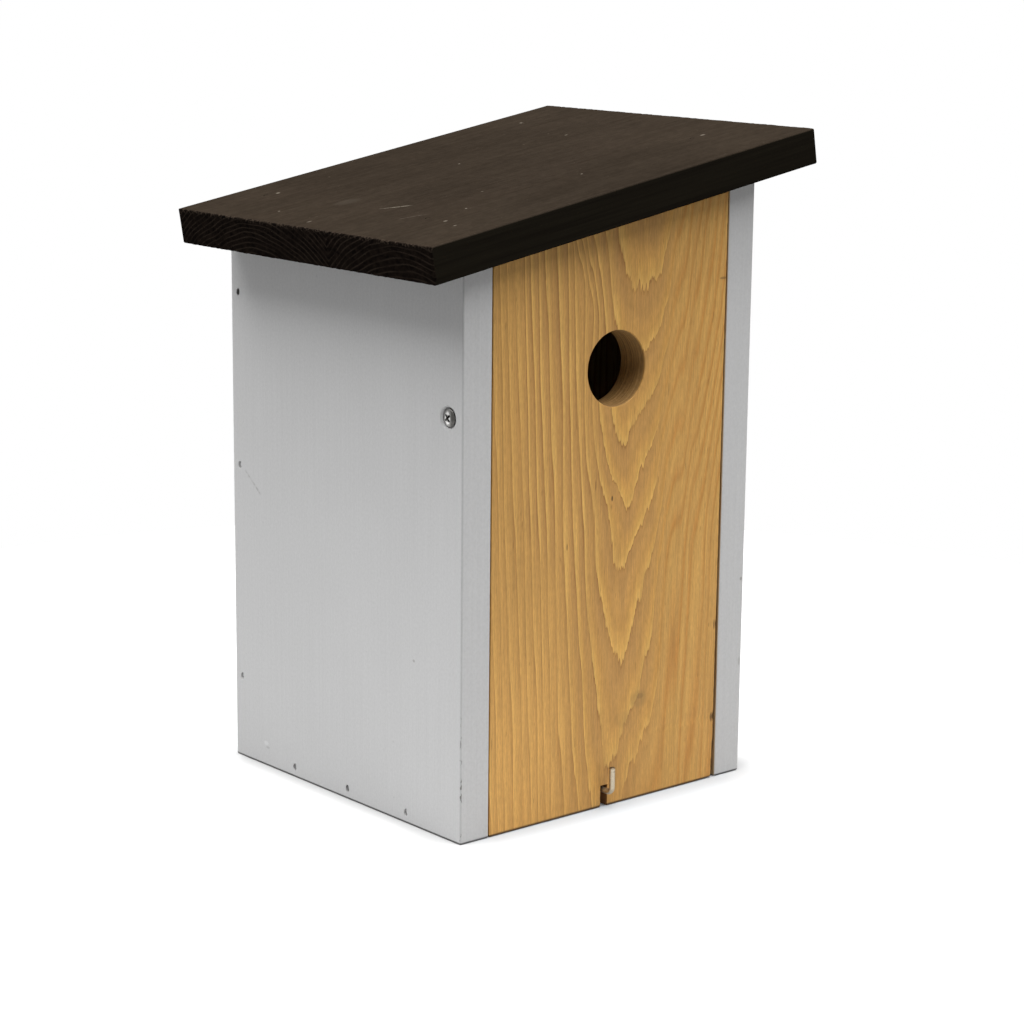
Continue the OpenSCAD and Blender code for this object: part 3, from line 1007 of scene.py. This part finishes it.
def arch_rings(f, side, y, z):
    """Number of the ring at a place, counted outwards from the topmost arch."""
    from_half = f.less(z, ARCH_HALF)
    low = f.math("MINIMUM", from_half, 0.0)
    upright = f.total(
        f.both(low, f.range(side, *ARCH_RIGHT, 0.0, -ARCH_UPRIGHT)),
        f.both(from_half, f.range(side, *ARCH_LEFT, -ARCH_UPRIGHT_LEFT, 0.0)))
    tip = f.less(f.total(z, f.times(y, ARCH_DEPTH), upright), arch_lift(f, side, z))
    last = len(ARCH_TIPS)
    points = [(0.0, (last + ARCH_CUT) / (last + 1))]
    points += [(at / ARCH_TOP, (last - number) / (last + 1)) for number, at in enumerate(ARCH_TIPS)]
    points += [(1.0, 0.0)]
    shown = f.steps(f.math("DIVIDE", f.math("MAXIMUM", tip, 0.0), ARCH_TOP), points)
    below = f.math("DIVIDE", f.math("MINIMUM", tip, 0.0), -ARCH_STEP)
    return f.total(f.times(shown, last + 1), below)


def ring_bands(f, side, z, phase):
    """Pale and dark bands of the rings, which differ from one part of the panel to another."""
    on_flank = f.both(f.fade(side, *FLANK_SPAN), f.range(z, *FLANK_HEIGHTS))
    left_end = f.range(z, *PLAIN_LEFT)
    on_left = f.fade(side, left_end, f.math("ADD", left_end, PLAIN_SOFT))
    low_down = f.range(z, *PLAIN_LOW)
    colour = f.mix(on_flank, f.ramp(phase, CRISP_STOPS), f.ramp(phase, FLANK_STOPS))
    colour = f.mix(f.either(on_left, low_down), colour, f.ramp(phase, PLAIN_STOPS))
    return f.mix(f.range(side, *ARCH_RIGHT), colour, f.ramp(phase, STREAKY_STOPS))


def panel_cuts(f, colour, place, x, y, z):
    """The scored bore of the entrance, darkened partly as painted shade, and painted shade inside the notch.
    """
    reach = f.far(f.less(x, HOLE_X / MM), f.less(z, HOLE_Z / MM))
    bored = f.both(f.fade(reach, *BORE_REACH), f.range(y, *BORE_FRONT))
    scores = f.grain(place, *SCORES)
    # The bore's scored wood, darkened in part as painted shade
    bore = f.shade(f.ramp(scores, BORE_SHADED_STOPS), f.grain(place, *MOTTLE), MOTTLE_TONE)
    colour = f.mix(bored, colour, bore)
    # Painted shade inside the notch
    notched = f.both(
        f.fade(f.size(f.less(x, NOTCH_X / MM)), *NOTCH_REACH),
        f.fade(z, *NOTCH_HEIGHTS), f.range(y, *NOTCH_FRONT))
    return f.mix(notched, colour, srgb(*NOTCH_SHADE_BROWN)), f.both(bored, scores)


def oiled_wood():
    """Softwood under a honey oil: nested arches of pale late wood with torn, downward tips."""
    f = Finish("oiled_wood")
    place = f.place(centre=(0, FRONT_Y, 0))
    x, y, z = f.split(place)
    side = arch_side(f, x, z)
    away = f.size(side)
    rings = arch_rings(f, side, y, z)
    wild = f.range(away, *WILD_SPAN)
    teeth = f.both(wild, f.sway(f.grain(place, *TEETH), TEETH_SWAY))
    jogs = f.both(wild, f.sway(f.grain(place, *JOGS), JOGS_SWAY))
    drift = f.times(f.sway(f.grain(place, *DRIFT), DRIFT_SWAY), f.range(away, *DRIFT_SPAN))
    phase = f.math("FRACT", f.total(rings, teeth, jogs, drift))
    colour = ring_bands(f, side, z, phase)
    faint = f.range(f.grain(place, *FAINT), *FAINT_SPAN)
    colour = f.mix(faint, colour, srgb(*FAINT_OIL))
    between = f.total(f.times(rings, BETWEEN_RINGS), f.times(drift, BETWEEN_DRIFT), jogs)
    from_middle = f.size(f.less(f.math("FRACT", between), 0.5))
    colour = f.shade(colour, from_middle, (*BETWEEN_SPAN, f.range(side, *BETWEEN_DEEP)))
    fibres = f.grain(place, *FIBRES)
    colour = f.shade(colour, fibres, FIBRE_TONE)
    colour = f.shade(colour, f.grain(place, *HAIRS), HAIR_TONE)
    colour = f.shade(colour, f.grain(place, *OIL_CLOUDS), OIL_CLOUD_TONE)
    # Painted light that makes the panel's lower left paler
    pale = f.both(f.fade(x, *PAINTED_LIGHT_SIDES), f.fade(z, *PAINTED_LIGHT_HEIGHTS))
    colour = f.shade(colour, pale, PAINTED_LIGHT_TONE)
    # Painted contact shade along the panel's bottom edge
    colour = f.blot(colour, f.fade(z, *PANEL_BASE_SHADE_SPAN), BASE_SHADE_SHARE, PANEL_BASE_SHADE)
    pores = f.range(f.grain(place, *PORES), *PORE_SPAN)
    colour = f.blot(colour, pores, PORE_SHARE, PORE_BROWN)
    colour, scored = panel_cuts(f, colour, place, x, y, z)
    for at, size, share, tint in PANEL_MARKS:
        colour = f.blot(colour, f.spot(x, z, at, size), share, tint)
    height = f.less(f.total(f.times(fibres, FIBRE_SHARE), f.times(phase, RING_SHARE)), scored)
    f.shader.inputs["Specular IOR Level"].default_value = OIL_SHINE
    return f.surface(colour, f.range(fibres, *OIL_ROUGH), f.bump(height, OIL_RELIEF))


# Bare wood: the pith's place, the width of a ring and how far the trunk leans
BARE_PITH = (9.0, -64.0)
BARE_RING = 3.4
BARE_LEAN = 0.012
BARE_WAVES = ((0.3, 0.3, 0.015), 2.0, 0.5, 0.0)
BARE_SWAY = 1.6
BARE_STOPS = ((0.0, (216, 187, 141)), (0.6, (210, 177, 129)), (0.9, (190, 147, 95)), (1.0, (206, 172, 122)))
BARE_FIBRES = ((2.5, 2.5, 0.04), 3.0, 0.6, 0.0)
BARE_TONE = (0.2, 0.8, 0.93, 1.05)
BARE_ROUGH = (0.2, 0.8, 0.62, 0.75)
BARE_RELIEF = 0.1
NEST_SOIL = ((0.05, 0.05, 0.05), 3.0, 0.6, 4.0)
NEST_SOIL_TONE = (0.4, 0.7, 1.0, 0.86)


def bare_colour(f, place):
    """Planed softwood left as it was sawn, with its trunk along Z."""
    x, y, z = f.split(place)
    reach = f.far(f.less(x, BARE_PITH[0]), f.less(y, BARE_PITH[1]))
    sway = f.sway(f.grain(place, *BARE_WAVES), BARE_SWAY)
    rings = f.total(f.math("DIVIDE", reach, BARE_RING), f.times(z, BARE_LEAN), sway)
    fibres = f.grain(place, *BARE_FIBRES)
    return f.shade(f.ramp(f.math("FRACT", rings), BARE_STOPS), fibres, BARE_TONE), fibres


def bare_wood():
    """The floor board: bare softwood, a little soiled where a nest has stood."""
    f = Finish("bare_wood")
    colour, fibres = bare_colour(f, f.place(turn=(0, QUARTER_TURN, 0)))
    colour = f.shade(colour, f.grain(f.place(), *NEST_SOIL), NEST_SOIL_TONE)
    return f.surface(colour, f.range(fibres, *BARE_ROUGH), f.bump(fibres, BARE_RELIEF))


# Grey paint: its skin, brush strokes and clouds
PEEL = ((1.0, 1.0, 0.8), 2.0, 0.5, 0.0)
PEEL_SWAY = 0.2
BRUSH = ((1.4, 1.4, 0.01), 2.0, 0.6, 5.0)
BRUSH_SWAY = 0.1
PAINT_CLOUDS = ((0.02, 0.02, 0.012), 2.0, 0.5, 9.0)
PAINT_CLOUD_TONE = (0.3, 0.7, 0.985, 1.01)
PAINT_ROUGH = (0.2, 0.8, 0.44, 0.6)
PAINT_RELIEF = 0.07
# Specks, the left wall's front arris and the chips in it
SPECKS = ((0.55, 0.55, 0.4), 1.0, 0.5, 31.0)
SPECK_SPAN = (0.79, 0.82)
SPECK_SHARE = 0.2
SPECK_GREY = (120, 118, 114)
ARRIS_SPAN = (0.45, 0.75)
ARRIS_SHARE = 0.22
ARRIS_GREY = (120, 120, 120)
CHIPS = ((0.9, 0.9, 0.3), 2.0, 0.6, 13.0)
CHIP_SPAN = (0.56, 0.64)
CHIP_HEIGHTS = (30.0, 66.0)
CHIP_SHARE = 0.8
CHIP_GREY = (70, 67, 62)
# Where a nail pocket's inside is: below the face, behind the screw and clear of the edges
POCKET_DEPTHS = (0.45, 0.15)
POCKET_FRONT = (-60.0, -58.0)
POCKET_BACK = (78.6, 78.9)
POCKET_LOW = (1.5, 2.0)
# Painted contact shade: a dark band along the walls' bottom edges
WALL_BASE_SHADE_SPAN = (0.6, 1.2)
WALL_BASE_SHADE = (44, 43, 42)
# Depth of a face that still counts as that face
LEFT_SKIN = (0.1, 0.3)
FRONT_SKIN = (0.3, 0.5)
INNER_SKIN = (0.1, 0.5)
# Painted shade: the walls' front faces made darker than their sides
FRONT_FACE_SHADE = (0.0, 1.0, 1.0, 0.91)
SCRATCH_BREAKS = ((0.5, 0.5, 0.5), 1.0, 0.5, 41.0)
SCRATCH_SPAN = (0.4, 0.55, 0.3, 1.0)
# Painted shade: the walls' inner faces are darker beside the panel, in the gap
GAP_SHADE_BACK = 2.0
GAP_SHADE_TONE = (0.5, 1.0)
INSIDE_ROUGH = 0.15


def left_paint(f, y, z):
    """Share of paint that was left in the nail pockets."""
    painted = []
    for node, share in NAIL_PAINT.items():
        low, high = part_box(node)
        middle = (low + high) / 2 / MM
        near = f.spot(y, z, (middle.y, middle.z), (NAIL_NEAR, NAIL_NEAR), NAIL_HARD)
        painted.append(f.times(near, share))
    return f.either(*painted)


def skin(f, value, face, depths):
    """1 on a face and 0 below it."""
    return f.fade(value, face / MM + depths[0], face / MM + depths[1])


def wear_paint(f, paint, place, x, y, z):
    """Specks, the worn arris, painted shade in the nail pockets and painted contact shade along the lower
    edges.
    """
    specks = f.range(f.grain(place, *SPECKS), *SPECK_SPAN)
    paint = f.blot(paint, specks, SPECK_SHARE, SPECK_GREY)
    arris = f.far(f.less(x, LEFT_LOW.x / MM), f.less(y, FRONT_Y / MM))
    at_arris = f.fade(arris, *ARRIS_SPAN)
    chips = f.range(f.grain(place, *CHIPS), *CHIP_SPAN)
    paint = f.blot(paint, at_arris, ARRIS_SHARE, ARRIS_GREY)
    paint = f.blot(paint, f.both(chips, at_arris, f.fade(z, *CHIP_HEIGHTS)), CHIP_SHARE, CHIP_GREY)
    # Painted shade inside the nail pockets that kept no paint
    sunk = f.fade(f.size(x), *[RIGHT_HIGH.x / MM - depth for depth in POCKET_DEPTHS])
    behind = f.both(f.range(y, *POCKET_FRONT), f.fade(y, *POCKET_BACK), f.range(z, *POCKET_LOW))
    bare_pocket = f.less(1.0, left_paint(f, y, z))
    paint = f.mix(f.both(sunk, behind, bare_pocket), paint, srgb(*POCKET_SHADE_GREY))
    # Painted contact shade along the walls' bottom edges
    return f.blot(paint, f.fade(z, *WALL_BASE_SHADE_SPAN), BASE_SHADE_SHARE, WALL_BASE_SHADE)


def mark_paint(f, paint, place, x, y, z):
    """Marks and a scratch on the left wall, and painted shade and marks on the front edges."""
    on_left = skin(f, x, LEFT_LOW.x, LEFT_SKIN)
    # Among these marks are a painted highlight and painted shade for a nail's bump
    for at, size, share, tint in WALL_MARKS:
        paint = f.blot(paint, f.both(on_left, f.spot(y, z, at, size)), share, tint)
    start, end, wide, share, tint = WALL_SCRATCH
    broken = f.range(f.grain(place, *SCRATCH_BREAKS), *SCRATCH_SPAN)
    paint = f.blot(paint, f.both(on_left, f.stroke(y, z, start, end, wide), broken), share, tint)
    on_front = skin(f, y, FRONT_Y, FRONT_SKIN)
    # Painted shade on the walls' front faces
    paint = f.shade(paint, on_front, FRONT_FACE_SHADE)
    for at, size, share, tint in EDGE_MARKS:
        paint = f.blot(paint, f.both(on_front, f.spot(x, z, at, size)), share, tint)
    return paint


def grey_paint():
    """Light grey satin paint on planed softwood; the inside of the box was left bare."""
    f = Finish("grey_paint")
    place = f.place()
    x, y, z = f.split(place)
    peel = f.grain(place, *PEEL)
    brush = f.grain(place, *BRUSH)
    clouds = f.range(f.grain(place, *PAINT_CLOUDS), *PAINT_CLOUD_TONE)
    level = f.total(clouds, f.sway(peel, PEEL_SWAY), f.sway(brush, BRUSH_SWAY))
    paint = f.tone(srgb(*PAINT_GREY), level)
    paint = wear_paint(f, paint, place, x, y, z)
    paint = mark_paint(f, paint, place, x, y, z)
    bare, fibres = bare_colour(f, place)
    inner_x = skin(f, f.size(x), -LEFT_HIGH.x, INNER_SKIN)
    inside = f.both(inner_x, skin(f, y, BACK_FACE_Y, INNER_SKIN))
    # Painted shade on the inner faces beside the panel, in the gap
    rubbed = f.range(y, PANEL_LOW.y / MM, PANEL_HIGH.y / MM + GAP_SHADE_BACK, *GAP_SHADE_TONE)
    colour = f.mix(inside, paint, f.tone(bare, rubbed))
    rough = f.total(f.range(peel, *PAINT_ROUGH), f.times(inside, INSIDE_ROUGH))
    height = f.times(f.total(peel, brush), 0.5)
    return f.surface(colour, rough, f.bump(height, PAINT_RELIEF))


# Roof's stain: the rings of its end grain
ROOF_WAVES = ((0.01, 0.04, 0.07), 1.0, 0.5, 0.0)
ROOF_WAVES_SWAY = 2.4
CRUMBLE = ((0.02, 0.9, 0.9), 2.0, 0.5, 3.0)
CRUMBLE_SWAY = 0.16
ROOF_LEAN = 0.006
LATE_WOOD = (0.0, 0.22)
# Where the sawn end and the top begin
FRAYED = ((0.3, 0.5, 0.5), 3.0, 0.7, 57.0)
FRAYED_SWAY = 1.6
END_SKIN = (0.9, 0.3)
TOP_SKIN = (0.7, 0.2)
STREAKS = ((0.016, 0.9, 0.9), 3.0, 0.62, 0.0)
EDGE_STOPS = ((0.3, (22, 19, 15)), (0.7, (29, 26, 20)))
CRUMBS = ((0.05, 0.35, 0.5), 3.0, 0.65, 19.0)
END_STOPS = ((0.35, (13, 10, 9)), (0.7, (29, 23, 19)))
END_SHOWN = ((0.05, 0.07, 0.3), 2.0, 0.5, 33.0)
END_SHOWN_SPAN = (0.35, 0.65, 0.25, 0.85)
END_PALE = (46, 39, 33)
TOP_STOPS = ((0.3, (44, 37, 30)), (0.7, (50, 43, 36)))
TOP_RING_SHARE = 0.12
TOP_RING = (40, 34, 28)
BLOTCH = ((0.025, 0.05, 0.05), 3.0, 0.6, 8.0)
BLOTCH_TONE = (0.3, 0.7, 0.92, 1.08)
TOP_MIDDLE = -5.0
TOP_MIDDLE_TONE = (25.0, 85.0, 0.9, 1.03)
NAP = ((0.25, 0.3, 0.3), 5.0, 0.85, 51.0)
NAP_TONE = (0.3, 0.7, 0.86, 1.14)
ROOF_MARK_HARD = 0.3
ROOF_BREAKS = ((0.6, 0.6, 0.6), 1.0, 0.5, 43.0)
ROOF_BREAK_SPAN = (0.4, 0.6, 0.3, 1.0)
DUST = ((0.5, 0.7, 0.7), 1.0, 0.5, 23.0)
DUST_SPAN = (0.77, 0.82)
DUST_SHARE = 0.3
DUST_TINT = (96, 86, 75)
# Torn upper arris of the ends
TORN = ((0.8, 0.9, 0.9), 2.0, 0.5, 27.0)
TORN_SPAN = (0.52, 0.66)
TORN_END = (1.4, 0.6)
TORN_TOP = (2.0, 0.5)
TORN_SHARE = 0.6
TORN_TINT = (70, 60, 51)
STAIN_ROUGH = (0.2, 0.8, 0.5, 0.62)
STAIN_RELIEF = 0.08
STREAK_SHARE = 0.6


def late_rings(f, place, x, y, z):
    """The dark late wood of the rings of the roof's two staves."""
    from_joint = f.size(f.less(y, STAVE_JOINT))
    reach = f.far(f.less(from_joint, STAVE_PITH), f.math("ADD", z, STAVE_DEEP))
    sway = f.sway(f.grain(place, *ROOF_WAVES), ROOF_WAVES_SWAY)
    crumble = f.sway(f.grain(place, *CRUMBLE), CRUMBLE_SWAY)
    rings = f.total(f.math("DIVIDE", reach, STAVE_RING), f.times(x, ROOF_LEAN), sway, crumble)
    return f.fade(f.size(f.less(f.math("FRACT", rings), 0.5)), *LATE_WOOD)


def roof_top(f, place, x, y, late, streaks):
    """The roof's upper face: faint rings and blotches, pale marks, scratches and dust."""
    top = f.blot(f.ramp(streaks, TOP_STOPS), late, TOP_RING_SHARE, TOP_RING)
    top = f.shade(top, f.grain(place, *BLOTCH), BLOTCH_TONE)
    top = f.shade(top, f.size(f.less(x, TOP_MIDDLE)), TOP_MIDDLE_TONE)
    top = f.shade(top, f.grain(place, *NAP), NAP_TONE)
    for at, size, share in ROOF_MARKS:
        top = f.blot(top, f.spot(x, y, at, size, ROOF_MARK_HARD), share, ROOF_MARK_TINT)
    broken = f.range(f.grain(place, *ROOF_BREAKS), *ROOF_BREAK_SPAN)
    for first, last, wide, share in ROOF_SCRATCHES:
        top = f.blot(top, f.both(f.stroke(x, y, first, last, wide), broken), share, ROOF_MARK_TINT)
    return f.blot(top, f.range(f.grain(place, *DUST), *DUST_SPAN), DUST_SHARE, DUST_TINT)


def dark_stain():
    """Brown-black stain on two glued staves, with the end grain showing through."""
    f = Finish("dark_stain")
    place = f.place(centre=ROOF_MIDDLE, turn=(0, -SLOPE, 0))
    x, y, z = f.split(place)
    half_len = ROOF_LEN / 2 / MM
    half_t = ROOF_T / 2 / MM
    late = late_rings(f, place, x, y, z)
    frayed = f.total(f.size(x), f.sway(f.grain(place, *FRAYED), FRAYED_SWAY))
    at_end = f.range(frayed, *[half_len - depth for depth in END_SKIN])
    on_top = f.range(z, *[half_t - depth for depth in TOP_SKIN])
    streaks = f.grain(place, *STREAKS)
    shown = f.range(f.grain(place, *END_SHOWN), *END_SHOWN_SPAN)
    end = f.ramp(f.grain(place, *CRUMBS), END_STOPS)
    end = f.mix(f.both(late, shown), end, srgb(*END_PALE))
    top = roof_top(f, place, x, y, late, streaks)
    colour = f.mix(at_end, f.mix(on_top, f.ramp(streaks, EDGE_STOPS), top), end)
    torn = f.both(
        f.range(f.grain(place, *TORN), *TORN_SPAN),
        f.range(f.size(x), *[half_len - depth for depth in TORN_END]),
        f.range(z, *[half_t - depth for depth in TORN_TOP]))
    colour = f.blot(colour, torn, TORN_SHARE, TORN_TINT)
    f.shader.inputs["Specular IOR Level"].default_value = 0.0
    height = f.total(f.times(streaks, STREAK_SHARE), f.both(at_end, late))
    return f.surface(colour, f.range(streaks, *STAIN_ROUGH), f.bump(height, STAIN_RELIEF))


# Metal: a faint cloud of oxide, and each piece's tone, roughness and relief
OXIDE = ((1.2, 1.2, 1.2), 3.0, 0.6, 0.0)
OXIDE_SPAN = (0.25, 0.75)
NAIL_TONE = (0.82, 1.0)
NAIL_ROUGH = (0.5, 0.7)
NAIL_RELIEF = 0.02
WIRE_METAL_AND_REFLECTION = (188, 175, 152)
WIRE_TONE = (0.8, 1.0)
WIRE_ROUGH = (0.34, 0.5)
WIRE_END = (-0.8, -0.35, 0.0, 0.85)
WIRE_END_TINT = (88, 74, 58)
WIRE_SPECK = (-0.9, -1.9)
WIRE_SPECK_SIZE = (0.55, 0.6)
WIRE_SPECK_SHARE = 0.5
WIRE_SPECK_TINT = (90, 84, 74)
SCREW_SQUEEZE = (1.4, 0.85)
SCREW_SWAY = 1.4
SCREW_REACH = 4.0
SCREW_STOPS = (
    (0.0, (70, 70, 68)), (0.25, (120, 119, 117)), (0.42, (222, 221, 219)), (0.6, (130, 129, 127)),
    (0.85, (76, 75, 73)))
SCREW_ROUGH = (0.2, 0.34)
METAL_RELIEF = 0.03


def sunk_nail():
    """Dark steel with a faint cloud of oxide, and paint left on some of the heads."""
    f = Finish("nail_steel")
    place = f.place()
    x, y, z = f.split(place)
    clouds = f.grain(place, *OXIDE)
    colour = f.shade(srgb(*NAIL_DARK), clouds, (*OXIDE_SPAN, *NAIL_TONE))
    painted = left_paint(f, y, z)
    colour = f.mix(painted, colour, srgb(*NAIL_PALE))
    f.feed(f.shader.inputs["Metallic"], f.less(1.0, painted))
    return f.surface(colour, f.range(clouds, *OXIDE_SPAN, *NAIL_ROUGH), f.bump(clouds, NAIL_RELIEF))


def bent_wire():
    """Dull nickel wire, its colour warmed as a painted reflection of the oiled wood, with a dark, roughly
    cut end.
    """
    f = Finish("zinc_wire")
    low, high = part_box("latch_hook")
    place = f.place(centre=(0, low.y, high.z))
    x, y, z = f.split(place)
    clouds = f.grain(place, *OXIDE)
    f.shader.inputs["Metallic"].default_value = 1.0
    # The wire's colour carries a painted warm reflection of the wood
    colour = f.shade(srgb(*WIRE_METAL_AND_REFLECTION), clouds, (*OXIDE_SPAN, *WIRE_TONE))
    colour = f.mix(f.range(z, *WIRE_END), colour, srgb(*WIRE_END_TINT))
    colour = f.blot(colour, f.spot(x, z, WIRE_SPECK, WIRE_SPECK_SIZE), WIRE_SPECK_SHARE, WIRE_SPECK_TINT)
    return f.surface(colour, f.range(clouds, *OXIDE_SPAN, *WIRE_ROUGH), f.bump(clouds, METAL_RELIEF))


def worn_screw():
    """Zinc that the driver has worn bright round the recess, with dull oxide towards the rim."""
    f = Finish("zinc_screw")
    low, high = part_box("left_pivot_screw")
    axis = (low + high) / 2
    place = f.place(centre=(0, axis.y, axis.z))
    x, y, z = f.split(place)
    clouds = f.grain(place, *OXIDE)
    reach = f.far(f.times(y, SCREW_SQUEEZE[0]), f.times(z, SCREW_SQUEEZE[1]))
    out = f.total(reach, f.sway(clouds, SCREW_SWAY))
    colour = f.ramp(f.math("DIVIDE", out, SCREW_REACH), SCREW_STOPS)
    f.shader.inputs["Metallic"].default_value = 1.0
    return f.surface(colour, f.range(clouds, *OXIDE_SPAN, *SCREW_ROUGH), f.bump(clouds, METAL_RELIEF))


# Stage: floor, light, world and camera

def floor_finish():
    """White paper that stays white to the camera and keeps the shadow."""
    f = Finish("white_paper")
    f.shader.inputs["Roughness"].default_value = 1.0
    f.shader.inputs["Specular IOR Level"].default_value = 0.0
    path = f.add("ShaderNodeLightPath")
    seen = f.either(path.outputs["Is Camera Ray"], path.outputs["Is Glossy Ray"])
    x, y, z = f.split(f.place())
    beside = f.less(f.size(x), RIGHT_HIGH.x / MM - FLOOR_GLOW_ROUND)
    before = f.less(f.size(y), -FRONT_Y / MM - FLOOR_GLOW_ROUND)
    away = f.far(f.math("MAXIMUM", beside, 0.0), f.math("MAXIMUM", before, 0.0))
    away = f.less(away, FLOOR_GLOW_ROUND)
    front = FRONT_Y / MM
    reach = f.range(y, front, front + FLOOR_GLOW_CORNER, *FLOOR_GLOW_REACH)
    before_panel = f.both(
        f.fade(y, front, front + FLOOR_GLOW_ROUND),
        f.fade(f.size(x), PANEL_HIGH.x / MM - FLOOR_GLOW_ROUND, RIGHT_HIGH.x / MM))
    # A painted cool tint, seen only by the camera, that cancels the panel's warm reflected light on the
    # paper
    paper = f.mix(f.both(seen, before_panel), FLOOR_WHITE, FLOOR_BOUNCE_CANCEL)
    f.feed(f.shader.inputs["Base Color"], paper)
    glow = f.range(away, 0.0, reach, FLOOR_GLOW_NEAR, FLOOR_GLOW_FAR)
    f.shader.inputs["Emission Color"].default_value = (1, 1, 1, 1)
    f.feed(f.shader.inputs["Emission Strength"], f.times(seen, glow))
    return f.material


def stage_floor():
    bpy.ops.object.select_all(action="DESELECT")
    bpy.ops.mesh.primitive_circle_add(vertices=FLOOR_SIDES, radius=FLOOR_R, fill_type="NGON")
    floor = settle("paper_floor")
    floor.data.materials.append(floor_finish())


def add_lamp(name, azimuth, elevation, size, power):
    """A softbox, so wide and tall, that looks at the box from an azimuth and elevation."""
    data = bpy.data.lights.new(name, "AREA")
    data.shape = "RECTANGLE"
    data.size, data.size_y = size
    data.energy = power
    lamp = bpy.data.objects.new(name, data)
    a = math.radians(azimuth)
    e = math.radians(elevation)
    back = Vector((math.sin(a) * math.cos(e), -math.cos(a) * math.cos(e), math.sin(e)))
    lamp.location = LAMP_TARGET + back * LAMP_FAR
    lamp.rotation_mode = "QUATERNION"
    lamp.rotation_quaternion = (-back).to_track_quat("-Z", "Y")
    bpy.context.scene.collection.objects.link(lamp)


def light_stage():
    add_lamp("left_softbox", *LEFT_LAMP)
    add_lamp("front_right_softbox", *FRONT_LAMP)


def light_world():
    """White to the camera and in reflections, and a weak even fill for the rest."""
    world = bpy.data.worlds.new("white_room")
    bpy.context.scene.world = world
    world.use_nodes = True
    tree = world.node_tree
    tree.nodes.clear()
    path = tree.nodes.new("ShaderNodeLightPath")
    seen = tree.nodes.new("ShaderNodeBackground")
    seen.inputs["Color"].default_value = (1, 1, 1, 1)
    seen.inputs["Strength"].default_value = 1.0
    fill = tree.nodes.new("ShaderNodeBackground")
    fill.inputs["Color"].default_value = (1, 1, 1, 1)
    fill.inputs["Strength"].default_value = WORLD_FILL
    mix = tree.nodes.new("ShaderNodeMixShader")
    output = tree.nodes.new("ShaderNodeOutputWorld")
    white = path.outputs["Is Camera Ray"]
    for ray in ("Is Glossy Ray", "Is Transmission Ray"):
        either = tree.nodes.new("ShaderNodeMath")
        either.operation = "MAXIMUM"
        tree.links.new(white, either.inputs[0])
        tree.links.new(path.outputs[ray], either.inputs[1])
        white = either.outputs[0]
    tree.links.new(white, mix.inputs[0])
    tree.links.new(fill.outputs[0], mix.inputs[1])
    tree.links.new(seen.outputs[0], mix.inputs[2])
    tree.links.new(mix.outputs[0], output.inputs["Surface"])


def set_camera():
    data = bpy.data.cameras.new("camera")
    data.lens = CAMERA_LENS
    data.sensor_width = CAMERA_SENSOR
    data.clip_end = CAMERA_FAR
    camera = bpy.data.objects.new("camera", data)
    turn = Matrix.Rotation(CAMERA_AZIMUTH, 4, "Z")
    tilt = Matrix.Rotation(QUARTER_TURN - CAMERA_ELEVATION, 4, "X")
    roll = Matrix.Rotation(CAMERA_ROLL, 4, "Z")
    camera.matrix_world = Matrix.Translation(CAMERA_PLACE) @ turn @ tilt @ roll
    bpy.context.scene.collection.objects.link(camera)
    bpy.context.scene.camera = camera


def build():
    left = Vector((-1, 0, 0))
    right = Vector((1, 0, 0))
    paint = grey_paint()
    side_wall("left", left, paint)
    side_wall("right", right, paint)
    back_wall(paint)
    floor_board(bare_wood())
    stain = dark_stain()
    roof_board(stain)
    front_panel(oiled_wood())
    pivot_screws(worn_screw())
    latch_hook(bent_wire())
    steel = sunk_nail()
    for name, node in frame["nodes"].items():
        if "_nail_" in name:
            node.data.materials.clear()
            node.data.materials.append(stain if "_roof_" in name else steel)


bpy.context.scene.view_settings.view_transform = "Standard"
build()
stage_floor()
light_stage()
light_world()
set_camera()
